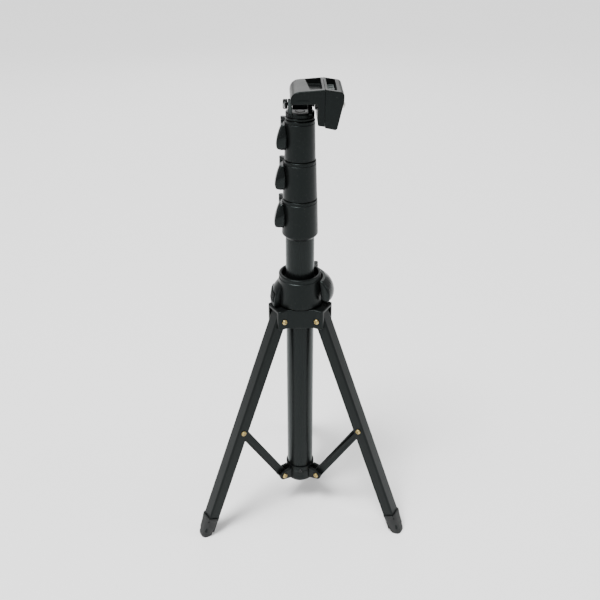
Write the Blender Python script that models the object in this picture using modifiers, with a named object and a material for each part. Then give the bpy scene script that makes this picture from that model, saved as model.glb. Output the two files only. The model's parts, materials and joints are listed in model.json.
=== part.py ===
"""Telescopic webcam tripod: four nested tubes with flip locks, a sliding leg hub and a small clamp head.

Run with: blender --background --python part.py
Lengths are written in millimetres and scaled to metres by MM. +Z is up, the floor is z = 0, and the
front of the tripod, between two of its legs, faces -Y. Each leg works in its own row frame, whose
x axis points outward from the mast and whose y axis is tangential.
"""
import math

import bmesh
import bpy
from mathutils import Matrix, Vector

MM = 0.001
COLLECTION = "webcam_tripod"
GAP = 0.3                      # clearance between touching pieces
FINE = 28                      # sides of the large round pieces
COARSE = 12                    # sides of the pins, rods and screws

# Frame: the mast stands off the centre of the footprint, because one leg points straight back.
MAST_Y = -26.6

# Mast tubes, from the outside in: outer radius, wall, bottom end, top end.
TUBE_WALL = 0.9
TUBES = {
    "outer_tube": (13.0, 33.3, 330.0),
    "lower_inner_tube": (11.2, 56.3, 366.0),
    "middle_inner_tube": (9.4, 70.3, 401.0),
    "top_inner_tube": (7.6, 84.3, 412.0),
}
GUIDE_FLANGE = 4.0             # height of the bush under each inner tube
GUIDE_SPIGOT = 6.0
GUIDE_SLACK = 0.35             # radial play of the bush in the tube around it

# Flip locks: rim height, radius at the rim, radius at the foot, height of the body.
LOCKS = {
    "lower": (344.3, 15.3, 16.2, 36.3),
    "middle": (379.3, 14.0, 15.1, 34.6),
    "upper": (414.3, 12.7, 13.4, 34.6),
}
LOCK_TUBES = {
    "lower": ("outer_tube", "lower_inner_tube"),
    "middle": ("lower_inner_tube", "middle_inner_tube"),
    "upper": ("middle_inner_tube", "top_inner_tube"),
}
BUSH_WALL = 1.5
BUSH_SEAT = 0.6                # step under each lock's bush
LOCK_LIP = 0.9                 # lip over each lock's bush
LEVER_TOP = 3.5                # lever's top edge below the rim
LEVER_HEIGHT = 21.0
LEVER_PIN_ANGLE = 148.0        # direction of the hinge pin, from +X
LEVER_TIP_ANGLE = 217.0
LEVER_REACH = 11.4             # how far the lever's tip stands off the lock body
LEVER_THICK = 2.8
PIN_RADIUS = 1.0
BARREL_RADIUS = 2.8
EAR_THICK = 2.6

# Leg hub and collar, which slide together on the outer tube.
HUB_PIVOT_R = 23.4
HUB_PIVOT_Z = 230.0
HUB_BOTTOM = 222.0
HUB_TOP = 241.5
HUB_ROOF = 2.6
HUB_REACH = 29.0               # how far the forks reach from the mast axis
HUB_WEB = 20.0                 # distance of the flat webs between the forks
CHEEK_IN = 7.2
CHEEK_OUT = 11.2
SLEEVE_RADIUS = 14.6
COLLAR_BOTTOM = 241.8
COLLAR_TOP = 271.6
COLLAR_RADIUS_TOP = 19.5
COLLAR_RADIUS_FOOT = 21.4
COLLAR_CUP = 9.0               # depth of the open cup in the collar's top, around the tube
COLLAR_PIN_ANGLE = 55.0
COLLAR_PIN_R = 27.0
COLLAR_LEVER_SWEEP = 89.0
COLLAR_LEVER_LOW = 247.2
COLLAR_LEVER_HIGH = 267.4
COLLAR_LEVER_OUTER = ((23.6, 267.4), (28.4, 262.8), (30.8, 258.3), (31.8, 253.5), (31.2, 249.4), (29.6, 247.2))
COLLAR_LEVER_INNER = (
    (26.2, 247.2), (27.8, 249.8), (28.4, 253.6), (27.5, 257.4), (25.4, 261.2), (22.6, 264.4), (21.2, 267.4)
)
COLLAR_LEVER_END = (           # section of the wall that closes the lever's free end
    (23.0, 267.0), (28.0, 262.5), (30.4, 258.1), (31.4, 253.5), (30.8, 249.6), (29.4, 247.5), (22.4, 247.5),
    (21.6, 267.0),
)
COLLAR_WING_FROM = 152.0       # the fixed thumb wing on the left, opposite the lever
COLLAR_WING_SWEEP = 60.0
COLLAR_WING = ((20.0, 263.2), (22.6, 259.5), (24.9, 256.0), (26.3, 252.0), (27.3, 247.0), (27.8, 242.6))

# Legs and braces.
LEG_ROWS = {"right": -30.0, "left": 210.0, "rear": 90.0}
SCREW_SIDE = {"right": -1, "left": 1, "rear": 1}
FOOT_R = 113.6
LEG_WIDTH = 13.6
LEG_SHEET = 1.0
LEG_BACK = 5.7                 # pivot line to the outside of the web
LEG_EDGE = 4.9                 # pivot line to the open edge
LEG_TOP = 5.5                  # leg end above the hub pivot
BRACE_PIVOT = 123.0            # hub pivot to brace pivot, along the leg
BRACE_WIDTH = 8.8
BRACE_THICK = 4.4
BASE_PIVOT_R = 21.6
BASE_PIVOT_Z = 39.0
CAP_RIM = 48.5
CAP_RADIUS = 14.4
CAP_BOTTOM = 29.0
LUG_IN = 2.6
LUG_OUT = 5.8
LUG_RADIUS = 5.0
SCREW_HEAD = 2.6
SCREW_HEAD_THICK = 1.5
SHANK = 1.5
FOOT_LENGTH = 25.0
FOOT_WALL = 2.1
FOOT_TAPER = 0.72              # size of the foot's bottom against its top
LEG_STOP = 6.0                 # leg's end above the floor, along the leg
FOOT_SOLE = 7.9                # rubber under the leg's end

# Clamp head: x across, y front to back, z up, about the mast axis.
NECK_RADIUS = 12.2
NECK_BOTTOM = 414.7
PLUG_BOTTOM = 398.0
PAN_SCREW_BOTTOM = 402.0
PAN_SCREW_BORE = 2.2
PAN_HEAD_BORE = 3.9
YOKE_BOTTOM = 417.1
YOKE_FLOOR = 420.8
TILT_Z = 426.4
EAR_OUT = 10.0
EAR_IN = 6.6
EAR_RADIUS = 4.4
HEAD_DEPTH = 42.0
HEAD_TOP = 441.2
HEAD_APEX = 443.4
BLOCK_LEFT = -8.4
BLOCK_BOTTOM = 431.2
SKIRT_LEFT = 13.8
SKIRT_BOTTOM = 413.9
SPLIT_X = 19.5                 # plane where the two jaws meet
JAW_RIGHT = 35.0
JAW_FOOT_X = 29.2
JAW_FOOT_Z = 410.2
JAW_SHOULDER_Z = 434.0         # where the jaw's right side starts to slant inward
POCKET_WALL = 2.6
ROD_Z = 434.6
ROD_Y = 13.0
ROD_RADIUS = 1.2
ROD_LEFT = -4.0                # left ends of the rods and the spring
SPRING_RADIUS = 2.0
PAD_SIZE = (32.0, 12.0)
PAD_DEPTH = 0.9
PAD_Z = 422.0
JAW_POCKET = (22.8, 30.2)
JAW_POCKET_FLOOR = 417.6
JAW_STUD_Z = 425.4

BLACK_PLASTIC = ("black plastic", (0.016, 0.018, 0.018), 0.42, 0.0)
GLOSSY_PLASTIC = ("lever plastic", (0.018, 0.020, 0.021), 0.34, 0.0)
BLACK_ALLOY = ("anodised tube", (0.022, 0.025, 0.025), 0.32, 0.6)
LEG_PAINT = ("leg paint", (0.018, 0.021, 0.021), 0.36, 0.2)
RUBBER = ("rubber", (0.012, 0.012, 0.012), 0.8, 0.0)
NYLON = ("nylon", (0.05, 0.055, 0.055), 0.5, 0.0)
BRASS = ("brass", (0.58, 0.44, 0.20), 0.3, 1.0)
STEEL = ("steel", (0.55, 0.55, 0.53), 0.3, 1.0)

ALONG_X = (0.0, math.pi / 2, 0.0)
ALONG_Y = (math.pi / 2, 0.0, 0.0)
UPRIGHT = (math.pi / 2, 0.0, 0.0)   # stands a flat outline up in the x-z plane

# The brace closes the triangle between the hub pivot, its own pivot on the leg and the base lug.
LEG_TILT = math.atan2(FOOT_R - HUB_PIVOT_R, HUB_PIVOT_Z)
LEG_LENGTH = math.hypot(FOOT_R - HUB_PIVOT_R, HUB_PIVOT_Z)
BRACE_TOP_R = HUB_PIVOT_R + BRACE_PIVOT * math.sin(LEG_TILT)
BRACE_TOP_Z = HUB_PIVOT_Z - BRACE_PIVOT * math.cos(LEG_TILT)
BRACE_LENGTH = math.hypot(BRACE_TOP_R - BASE_PIVOT_R, BRACE_TOP_Z - BASE_PIVOT_Z)
BRACE_TILT = math.atan2(BRACE_TOP_R - BASE_PIVOT_R, BRACE_TOP_Z - BASE_PIVOT_Z)


# ---------------------------------------------------------------- scene helpers

def clear_scene():
    for obj in list(bpy.data.objects):
        bpy.data.objects.remove(obj, do_unlink=True)


def make_collection(name):
    collection = bpy.data.collections.new(name)
    bpy.context.scene.collection.children.link(collection)
    return collection


def make_material(spec):
    name, colour, roughness, metallic = spec
    found = bpy.data.materials.get(name)
    if found:
        return found
    material = bpy.data.materials.new(name)
    material.use_nodes = True
    shader = material.node_tree.nodes["Principled BSDF"]
    shader.inputs["Base Color"].default_value = (*colour, 1.0)
    shader.inputs["Roughness"].default_value = roughness
    shader.inputs["Metallic"].default_value = metallic
    material.diffuse_color = (*colour, 1.0)
    return material


def scaled(point):
    return Vector(point) * MM


def empty(name, parent=None, location=(0, 0, 0), rotation=(0, 0, 0)):
    obj = bpy.data.objects.new(name, None)
    bpy.context.scene.collection.objects.link(obj)
    obj.empty_display_size = 0.01
    place(obj, parent, location, rotation)
    return obj


def place(obj, parent, location, rotation):
    obj.parent = parent
    obj.location = scaled(location)
    obj.rotation_euler = rotation


def add(name, mesh, parent, spec, location=(0, 0, 0), rotation=(0, 0, 0)):
    """Links a mesh as a part, or as a cutter when it has no material."""
    obj = bpy.data.objects.new(name, mesh)
    place(obj, parent, location, rotation)
    if spec is None:
        CUTTERS.objects.link(obj)
        obj.display_type = "WIRE"
        obj.hide_render = True
    else:
        PARTS.objects.link(obj)
        mesh.materials.append(make_material(spec))
    return obj


def shade(mesh, angle=35.0):
    mesh.shade_smooth()
    mesh.set_sharp_from_angle(angle=math.radians(angle))


def frozen_mesh(obj):
    """The evaluated shape of a curve or of an object with modifiers, welded, as a mesh of its own."""
    bpy.context.scene.collection.objects.link(obj)
    graph = bpy.context.evaluated_depsgraph_get()
    mesh = bpy.data.meshes.new_from_object(obj.evaluated_get(graph))
    bpy.data.objects.remove(obj)
    bm = bmesh.new()
    bm.from_mesh(mesh)
    bmesh.ops.remove_doubles(bm, verts=bm.verts, dist=0.002 * MM)
    bmesh.ops.dissolve_limit(bm, angle_limit=math.radians(0.5), verts=bm.verts, edges=bm.edges)
    bmesh.ops.recalc_face_normals(bm, faces=bm.faces)
    bm.to_mesh(mesh)
    bm.free()
    shade(mesh)
    return mesh


# ---------------------------------------------------------------- shape helpers

def turned(name, parent, spec, profile, closed=True, steps=FINE, **placing):
    """Turns a profile of (radius, z) points about z; its outer side runs from top to bottom."""
    outline = bpy.data.meshes.new(name + "_profile")
    points = [scaled((radius, 0, z)) for radius, z in profile]
    edges = [(i, i + 1) for i in range(len(points) - 1)]
    if closed:
        edges.append((len(points) - 1, 0))
    outline.from_pydata(points, edges, [])
    lathe = bpy.data.objects.new(name + "_lathe", outline)
    screw = lathe.modifiers.new("turn", "SCREW")
    screw.axis = "Z"
    screw.steps = steps
    screw.render_steps = steps
    screw.use_merge_vertices = True
    screw.merge_threshold = 0.002 * MM
    return add(name, frozen_mesh(lathe), parent, spec, **placing)


def plate(name, parent, spec, outline, thickness, holes=(), **placing):
    """A flat piece: a closed outline of (x, y) points, extruded evenly to both sides."""
    curve = bpy.data.curves.new(name + "_outline", "CURVE")
    curve.dimensions = "2D"
    curve.fill_mode = "BOTH"
    curve.extrude = thickness / 2 * MM
    for points in (outline, *holes):
        spline = curve.splines.new("POLY")
        spline.points.add(len(points) - 1)
        for place_in_curve, (x, y) in zip(spline.points, points):
            place_in_curve.co = (x * MM, y * MM, 0, 1)
        spline.use_cyclic_u = True
    return add(name, frozen_mesh(bpy.data.objects.new(name + "_curve", curve)), parent, spec, **placing)


def rod(name, parent, spec, radius, length, steps=COARSE, **placing):
    """A cylinder about its own z axis, centred on its origin."""
    bm = bmesh.new()
    bmesh.ops.create_cone(
        bm, cap_ends=True, segments=steps, radius1=radius * MM, radius2=radius * MM, depth=length * MM
    )
    half_facet = Matrix.Rotation(math.pi / steps, 3, "Z")
    bmesh.ops.rotate(bm, verts=bm.verts, cent=(0, 0, 0), matrix=half_facet)
    mesh = bpy.data.meshes.new(name)
    bm.to_mesh(mesh)
    bm.free()
    shade(mesh)
    return add(name, mesh, parent, spec, **placing)


def box(name, parent, spec, size, **placing):
    bm = bmesh.new()
    bmesh.ops.create_cube(bm, size=MM)
    bmesh.ops.scale(bm, vec=size, verts=bm.verts)
    mesh = bpy.data.meshes.new(name)
    bm.to_mesh(mesh)
    bm.free()
    return add(name, mesh, parent, spec, **placing)


def joined_boolean(obj, other, operation):
    step = obj.modifiers.new(operation.lower(), "BOOLEAN")
    step.operation = operation
    step.solver = "EXACT"
    step.object = other
    return obj


def cut(obj, *cutters):
    for cutter in cutters:
        joined_boolean(obj, cutter, "DIFFERENCE")
    return obj


def fuse(obj, *others):
    for other in others:
        joined_boolean(obj, other, "UNION")
    return obj


def soften(obj, width, segments=1, angle=40.0):
    step = obj.modifiers.new("edges", "BEVEL")
    step.width = width * MM
    step.segments = segments
    step.limit_method = "ANGLE"
    step.angle_limit = math.radians(angle)
    return obj


def arc(centre, radius, start, end, steps):
    """Points along an arc, angles in degrees, both ends included."""
    turns = [math.radians(start + (end - start) * i / steps) for i in range(steps + 1)]
    return [(centre[0] + radius * math.cos(a), centre[1] + radius * math.sin(a)) for a in turns]


def polar(radius, degrees):
    return (radius * math.cos(math.radians(degrees)), radius * math.sin(math.radians(degrees)))


# ---------------------------------------------------------------- fasteners

def screw_profile(length):
    """Half section of a pan-head screw: the head's underside is z = 0 and the shank points down."""
    head = SCREW_HEAD
    return [
        (0, SCREW_HEAD_THICK),
        (head * 0.75, SCREW_HEAD_THICK),
        (head, SCREW_HEAD_THICK * 0.4),
        (head, 0),
        (SHANK, 0),
        (SHANK, -length),
        (0, -length),
    ]


def cross_screw(name, parent, span, side):
    """A screw along the tangential y axis, its head at one end of the span and a nut at the other."""
    half = span / 2 + GAP
    turn = -side * math.pi / 2
    length = span + 2 * GAP + SCREW_HEAD_THICK
    screw = turned(
        name, parent, BRASS, screw_profile(length), closed=False, steps=COARSE,
        location=(0, side * half, 0), rotation=(turn, 0, 0),
    )
    nut = rod(
        name + "_nut", parent, None, SCREW_HEAD, SCREW_HEAD_THICK * 0.8, steps=6,
        location=(0, -side * (half + SCREW_HEAD_THICK * 0.4), 0), rotation=(turn, 0, 0),
    )
    return fuse(screw, nut)


# ---------------------------------------------------------------- mast

def mast_tube(name, parent):
    radius, bottom, top = TUBES[name]
    bore = radius - TUBE_WALL
    return turned(name, parent, BLACK_ALLOY, [(radius, top), (radius, bottom), (bore, bottom), (bore, top)])


def tube_guide(name, parent):
    """The bush that plugs the foot of an inner tube and runs in the tube around it."""
    names = list(TUBES)
    around = TUBES[names[names.index(name) - 1]][0] - TUBE_WALL
    radius, bottom, _ = TUBES[name]
    flange = around - GUIDE_SLACK
    spigot = radius - TUBE_WALL - GAP
    under = bottom - GAP
    profile = [
        (0, under + GUIDE_SPIGOT),
        (spigot, under + GUIDE_SPIGOT),
        (spigot, under),
        (flange, under),
        (flange, under - GUIDE_FLANGE),
        (0, under - GUIDE_FLANGE),
    ]
    return turned(name + "_guide", parent, NYLON, profile, closed=False)


def lock_body(size, parent):
    """A slightly conical collar that grips the inner tube, split behind its lever."""
    rim, rim_radius, foot_radius, height = LOCKS[size]
    holder, runner = LOCK_TUBES[size]
    seat = TUBES[holder][0] + GAP
    seat_top = TUBES[holder][2] + GAP
    throat = TUBES[runner][0] + GAP
    bush_seat = throat + BUSH_WALL + GAP
    foot = rim - height
    chin = 4.0 if size == "lower" else 0.8
    profile = [
        (rim_radius, rim),
        (foot_radius, foot + chin),
        (foot_radius - chin * 0.62, foot),
        (seat, foot),
        (seat, seat_top),
        (throat, seat_top),
        (throat, seat_top + BUSH_SEAT),
        (bush_seat, seat_top + BUSH_SEAT),
        (bush_seat, rim - LOCK_LIP),
        (throat + 0.1, rim - LOCK_LIP),
        (throat + 0.1, rim),
    ]
    if bush_seat >= seat:
        profile[4:7] = [(seat, seat_top + BUSH_SEAT)]
    body = turned(size + "_lock_body", parent, BLACK_PLASTIC, profile)
    lever_middle = rim - LEVER_TOP - LEVER_HEIGHT / 2
    pin_x, pin_y = lever_pin(size)
    for where in (-1, 1):
        height_of_ear = lever_middle + where * (LEVER_HEIGHT / 2 + GAP + EAR_THICK / 2)
        ear = plate(
            f"{size}_ear_{where}", parent, None, ear_outline(pin_x, pin_y), EAR_THICK,
            location=(0, 0, height_of_ear),
        )
        fuse(body, ear)
    pin_hole = rod(
        size + "_pin_hole", parent, None, PIN_RADIUS + GAP, LEVER_HEIGHT + 4 * EAR_THICK,
        location=(pin_x, pin_y, lever_middle),
    )
    slit_x, slit_y = polar(foot_radius, LEVER_PIN_ANGLE + 22)
    slit = box(
        size + "_slit", parent, None, (foot_radius, 1.4, LEVER_HEIGHT - 2),
        location=(slit_x, slit_y, lever_middle), rotation=(0, 0, math.radians(LEVER_PIN_ANGLE + 22)),
    )
    inner_keep = rod(
        size + "_bore", parent, None, throat - 0.05, height * 2, steps=FINE, location=(0, 0, rim - height / 2)
    )
    return cut(body, pin_hole, slit, inner_keep)


def lever_pin(size):
    return polar(LOCKS[size][2] + BARREL_RADIUS + 0.5, LEVER_PIN_ANGLE)


def ear_outline(pin_x, pin_y):
    """A lug from inside the lock's wall out around the pin."""
    direction = math.degrees(math.atan2(pin_y, pin_x))
    away = math.hypot(pin_x, pin_y)
    root = away - BARREL_RADIUS - 2.2
    left = polar(root, direction + 14)
    right = polar(root, direction - 14)
    return [right, *arc((pin_x, pin_y), BARREL_RADIUS, direction - 80, direction + 80, 5), left]


def lock_bush(size, parent):
    rim = LOCKS[size][0]
    seat_top = TUBES[LOCK_TUBES[size][0]][2] + GAP
    bore = TUBES[LOCK_TUBES[size][1]][0] + GAP
    top = rim - LOCK_LIP - GAP
    bottom = seat_top + BUSH_SEAT + GAP
    return turned(
        size + "_lock_bush", parent, NYLON,
        [(bore + BUSH_WALL, top), (bore + BUSH_WALL, bottom), (bore, bottom), (bore, top)],
    )


def lever_outline(size):
    """Plan of a lock lever: it hugs the lock body and flares outward to its free end."""
    body = LOCKS[size][2] + 0.8
    steps = 7
    start = LEVER_PIN_ANGLE + 6
    sweep = LEVER_TIP_ANGLE - start
    inner = []
    outer = []
    for i in range(steps + 1):
        along = i / steps
        flare = (LEVER_REACH - LEVER_THICK - 0.8) * along ** 1.8
        angle = start + sweep * along
        swell = 0.7 * math.sin(math.pi * along)
        inner.append(polar(body + flare, angle))
        outer.append(polar(body + flare + LEVER_THICK + swell, angle))
    return inner + outer[::-1]


def lock_lever(size, parent):
    """Modelled about its hinge pin, which is the parent's origin."""
    pin_x, pin_y = lever_pin(size)
    outline = [(x - pin_x, y - pin_y) for x, y in lever_outline(size)]
    lever = plate(size + "_lock_lever", parent, GLOSSY_PLASTIC, outline, LEVER_HEIGHT)
    soften(lever, 0.9)
    barrel = rod(size + "_barrel", parent, None, BARREL_RADIUS, LEVER_HEIGHT)
    hole = rod(size + "_lever_hole", parent, None, PIN_RADIUS + GAP, LEVER_HEIGHT * 1.5)
    return cut(fuse(lever, barrel), hole)


def lock_pin(size, parent):
    pin_x, pin_y = lever_pin(size)
    middle = LOCKS[size][0] - LEVER_TOP - LEVER_HEIGHT / 2
    return rod(
        size + "_lock_pin", parent, STEEL, PIN_RADIUS, LEVER_HEIGHT + 2 * (EAR_THICK + GAP),
        location=(pin_x, pin_y, middle),
    )


def make_lock(size, parent):
    lock_body(size, parent)
    lock_bush(size, parent)
    lock_pin(size, parent)
    pin_x, pin_y = lever_pin(size)
    middle = LOCKS[size][0] - LEVER_TOP - LEVER_HEIGHT / 2
    hinge = empty(size + "_lever_hinge", parent, location=(pin_x, pin_y, middle))
    lock_lever(size, hinge)


def row_outline(points):
    """Repeats the outline of one leg's row in all three rows, counter-clockwise."""
    whole = []
    for angle in (-30.0, 90.0, 210.0):
        turn = Matrix.Rotation(math.radians(angle), 2)
        whole += [tuple(turn @ Vector(point)) for point in points]
    return whole


def base_cap(parent):
    """Closes the foot of the outer tube and carries the three pairs of brace lugs."""
    wall = TUBES["outer_tube"][0] + GAP
    floor = TUBES["outer_tube"][1] - GAP
    profile = [
        (0, floor), (wall, floor), (wall, CAP_RIM), (CAP_RADIUS, CAP_RIM),
        (CAP_RADIUS, CAP_BOTTOM + 6), (CAP_RADIUS - 2.4, CAP_BOTTOM), (0, CAP_BOTTOM),
    ]
    cap = turned("base_cap", parent, BLACK_PLASTIC, profile, closed=False)
    for name, angle in LEG_ROWS.items():
        row = empty(name + "_base_row", parent, rotation=(0, 0, math.radians(angle)))
        root = wall + 0.5
        outline = [
            (root, BASE_PIVOT_Z + LUG_RADIUS),
            (root, BASE_PIVOT_Z - LUG_RADIUS),
            *arc((BASE_PIVOT_R, BASE_PIVOT_Z), LUG_RADIUS, -90, 90, 5),
        ]
        for side in (-1, 1):
            lug = plate(
                f"{name}_lug_{side}", row, None, outline, LUG_OUT - LUG_IN,
                location=(0, side * (LUG_IN + LUG_OUT) / 2, 0), rotation=UPRIGHT,
            )
            fuse(cap, lug)
        bore = rod(
            name + "_lug_bore", row, None, SHANK + GAP, 4 * LUG_OUT,
            location=(BASE_PIVOT_R, 0, BASE_PIVOT_Z), rotation=ALONG_Y,
        )
        cut(cap, bore)
    return cap


def lug_screw(name, parent):
    """A short brass screw in one cheek of a base lug, so that the brace end beside it stays free."""
    row = empty(name + "_lug_screw_row", parent, rotation=(0, 0, math.radians(LEG_ROWS[name])))
    side = SCREW_SIDE[name]
    return turned(
        name + "_lug_screw", row, BRASS, screw_profile(LUG_OUT - LUG_IN), closed=False, steps=COARSE,
        location=(BASE_PIVOT_R, side * (LUG_OUT + GAP), BASE_PIVOT_Z), rotation=(-side * math.pi / 2, 0, 0),
    )


def cap_screw(parent):
    """The small screw that holds the base cap to the tube, at the front."""
    height = CAP_RIM - 4.5
    reach = CAP_RADIUS + GAP
    front = (0, -reach, height)
    head = rod("cap_screw", parent, STEEL, 1.9, 0.9, location=(0, -reach - 0.45, height), rotation=ALONG_Y)
    shank = rod("cap_screw_shank", parent, None, 1.0, 3.4, location=(0, -reach + 1.2, height), rotation=ALONG_Y)
    fuse(head, shank)
    return rod("cap_screw_hole", parent, None, 1.0 + GAP, 9, location=front, rotation=ALONG_Y)


# ---------------------------------------------------------------- leg hub and collar

def hub_outline():
    """One row's share of the hub's plan: a fork with rounded corners, between two flat webs."""
    root = (HUB_WEB - CHEEK_OUT * math.cos(math.radians(30))) / math.sin(math.radians(30))
    corner = 3.0
    end = HUB_REACH
    return [
        (root, -CHEEK_OUT),
        *arc((end - corner, -CHEEK_OUT + corner), corner, -90, 0, 2),
        *arc((end - corner, CHEEK_OUT - corner), corner, 0, 90, 2),
        (root, CHEEK_OUT),
    ]


def hub_spider(parent):
    height = HUB_TOP - HUB_BOTTOM
    spider = plate(
        "hub_spider", parent, BLACK_PLASTIC, row_outline(hub_outline()), height,
        location=(0, 0, HUB_BOTTOM + height / 2),
    )
    soften(spider, 0.7)
    bore = rod(
        "hub_bore", parent, None, SLEEVE_RADIUS + GAP, height * 2, steps=FINE,
        location=(0, 0, HUB_BOTTOM + height / 2),
    )
    cut(spider, bore)
    slot_from = HUB_PIVOT_R - math.hypot(LEG_TOP, LEG_EDGE) - GAP
    slot_length = 2 * HUB_REACH
    for name, angle in LEG_ROWS.items():
        row = empty(name + "_hub_row", parent, rotation=(0, 0, math.radians(angle)))
        slot = box(
            name + "_slot", row, None, (slot_length, 2 * CHEEK_IN, height * 2),
            location=(slot_from + slot_length / 2, 0, HUB_TOP - HUB_ROOF - height),
        )
        hole = rod(
            name + "_hub_hole", row, None, SHANK + GAP, 4 * CHEEK_OUT,
            location=(HUB_PIVOT_R, 0, HUB_PIVOT_Z), rotation=ALONG_Y,
        )
        cut(spider, slot, hole)
    return spider


def hub_sleeve(parent):
    bore = TUBES["outer_tube"][0] + GAP
    top = COLLAR_TOP - COLLAR_CUP
    bottom = HUB_BOTTOM
    return turned(
        "hub_sleeve", parent, NYLON,
        [(SLEEVE_RADIUS, top), (SLEEVE_RADIUS, bottom), (bore, bottom), (bore, top)],
    )


def collar_radius(height):
    """Outer radius of the collar: it widens a little toward its foot."""
    along = (COLLAR_TOP - height) / (COLLAR_TOP - COLLAR_BOTTOM)
    return COLLAR_RADIUS_TOP + (COLLAR_RADIUS_FOOT - COLLAR_RADIUS_TOP) * along


def ring_segment(name, parent, spec, section, start, sweep, centre=(0, 0), steps=FINE // 3):
    """A section of (radius, z) points turned part of the way round the mast, about a given origin."""
    bm = bmesh.new()
    face = bm.faces.new([bm.verts.new(scaled((radius, 0, z))) for radius, z in section])
    turn = Matrix.Rotation(math.radians(start), 3, "Z")
    bmesh.ops.rotate(bm, verts=bm.verts, cent=(0, 0, 0), matrix=turn)
    bmesh.ops.spin(
        bm, geom=[face, *face.edges, *face.verts], cent=(0, 0, 0), axis=(0, 0, 1),
        angle=math.radians(sweep), steps=steps,
    )
    bmesh.ops.recalc_face_normals(bm, faces=bm.faces)
    bmesh.ops.translate(bm, verts=bm.verts, vec=scaled((-centre[0], -centre[1], 0)))
    mesh = bpy.data.meshes.new(name)
    bm.to_mesh(mesh)
    bm.free()
    shade(mesh)
    return add(name, mesh, parent, spec)


def collar_housing(parent):
    """A round shell over the hub with a cup at its top, a thumb wing, and two ears for the lever."""
    wall = 2.8
    inside = SLEEVE_RADIUS + GAP
    shelf = COLLAR_TOP - COLLAR_CUP
    profile = [
        (COLLAR_RADIUS_TOP - 0.8, COLLAR_TOP),
        (COLLAR_RADIUS_TOP, COLLAR_TOP - 0.8),
        (COLLAR_RADIUS_FOOT, COLLAR_BOTTOM + 0.8),
        (COLLAR_RADIUS_FOOT - 0.8, COLLAR_BOTTOM),
        (COLLAR_RADIUS_FOOT - wall, COLLAR_BOTTOM),
        (collar_radius(shelf) - wall, shelf - 5),
        (inside, shelf - 4),
        (inside, shelf),
        (COLLAR_RADIUS_TOP - 2.6, shelf + 1),
        (COLLAR_RADIUS_TOP - 2.6, COLLAR_TOP),
    ]
    housing = turned("collar_housing", parent, BLACK_PLASTIC, profile)
    root = collar_radius(COLLAR_WING[-1][1]) - wall / 2
    section = [*COLLAR_WING, (root, COLLAR_WING[-1][1]), (COLLAR_RADIUS_TOP - wall / 2, COLLAR_WING[0][1])]
    wing = ring_segment("collar_wing", parent, None, section, COLLAR_WING_FROM, COLLAR_WING_SWEEP)
    fuse(housing, wing)
    pin_x, pin_y = collar_pin()
    for name, (low, high) in {"upper": collar_ear_span(1), "lower": collar_ear_span(-1)}.items():
        middle = (low + high) / 2
        ear_root = collar_radius(middle) - wall / 2
        bar = box(
            f"collar_{name}_bar", parent, None, (COLLAR_PIN_R - ear_root, 2 * BARREL_RADIUS, high - low),
            location=(*polar((COLLAR_PIN_R + ear_root) / 2, COLLAR_PIN_ANGLE), middle),
            rotation=(0, 0, math.radians(COLLAR_PIN_ANGLE)),
        )
        eye = rod(f"collar_{name}_eye", parent, None, BARREL_RADIUS, high - low, location=(pin_x, pin_y, middle))
        fuse(housing, bar, eye)
    hole = rod(
        "collar_pin_hole", parent, None, PIN_RADIUS + GAP, 2 * (COLLAR_TOP - COLLAR_BOTTOM),
        location=(pin_x, pin_y, collar_lever_middle()),
    )
    return cut(housing, hole)


def collar_pin():
    return polar(COLLAR_PIN_R, COLLAR_PIN_ANGLE)


def collar_lever_middle():
    return (COLLAR_LEVER_LOW + COLLAR_LEVER_HIGH) / 2


def collar_ear_span(where):
    if where > 0:
        return (COLLAR_LEVER_HIGH + GAP, COLLAR_LEVER_HIGH + GAP + EAR_THICK)
    return (COLLAR_LEVER_LOW - GAP - EAR_THICK, COLLAR_LEVER_LOW - GAP)


def collar_lever(parent):
    """A bulging shell turned part of the way round the collar, hinged on the pin at its rear end."""
    lever = ring_segment(
        "collar_lever", parent, GLOSSY_PLASTIC, COLLAR_LEVER_OUTER + COLLAR_LEVER_INNER,
        COLLAR_PIN_ANGLE - 2, -COLLAR_LEVER_SWEEP, centre=collar_pin(), steps=FINE // 2,
    )
    end = ring_segment(
        "collar_lever_end", parent, None, COLLAR_LEVER_END,
        COLLAR_PIN_ANGLE - 1.5 - COLLAR_LEVER_SWEEP, 6.0, centre=collar_pin(), steps=2,
    )
    middle = (0, 0, collar_lever_middle())
    height = COLLAR_LEVER_HIGH - COLLAR_LEVER_LOW
    barrel = rod("collar_barrel", parent, None, BARREL_RADIUS, height, location=middle)
    hole = rod("collar_lever_hole", parent, None, PIN_RADIUS + GAP, 2 * height, location=middle)
    return cut(fuse(lever, end, barrel), hole)


def hub_screw(name, parent):
    """The screw on which a leg turns, with its nut."""
    angle = LEG_ROWS[name]
    row = empty(
        name + "_hub_screw_row", parent, rotation=(0, 0, math.radians(angle)),
        location=(*polar(HUB_PIVOT_R, angle), HUB_PIVOT_Z),
    )
    return cross_screw(name + "_hub_screw", row, 2 * CHEEK_OUT, SCREW_SIDE[name])


# ---------------------------------------------------------------- legs

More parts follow.
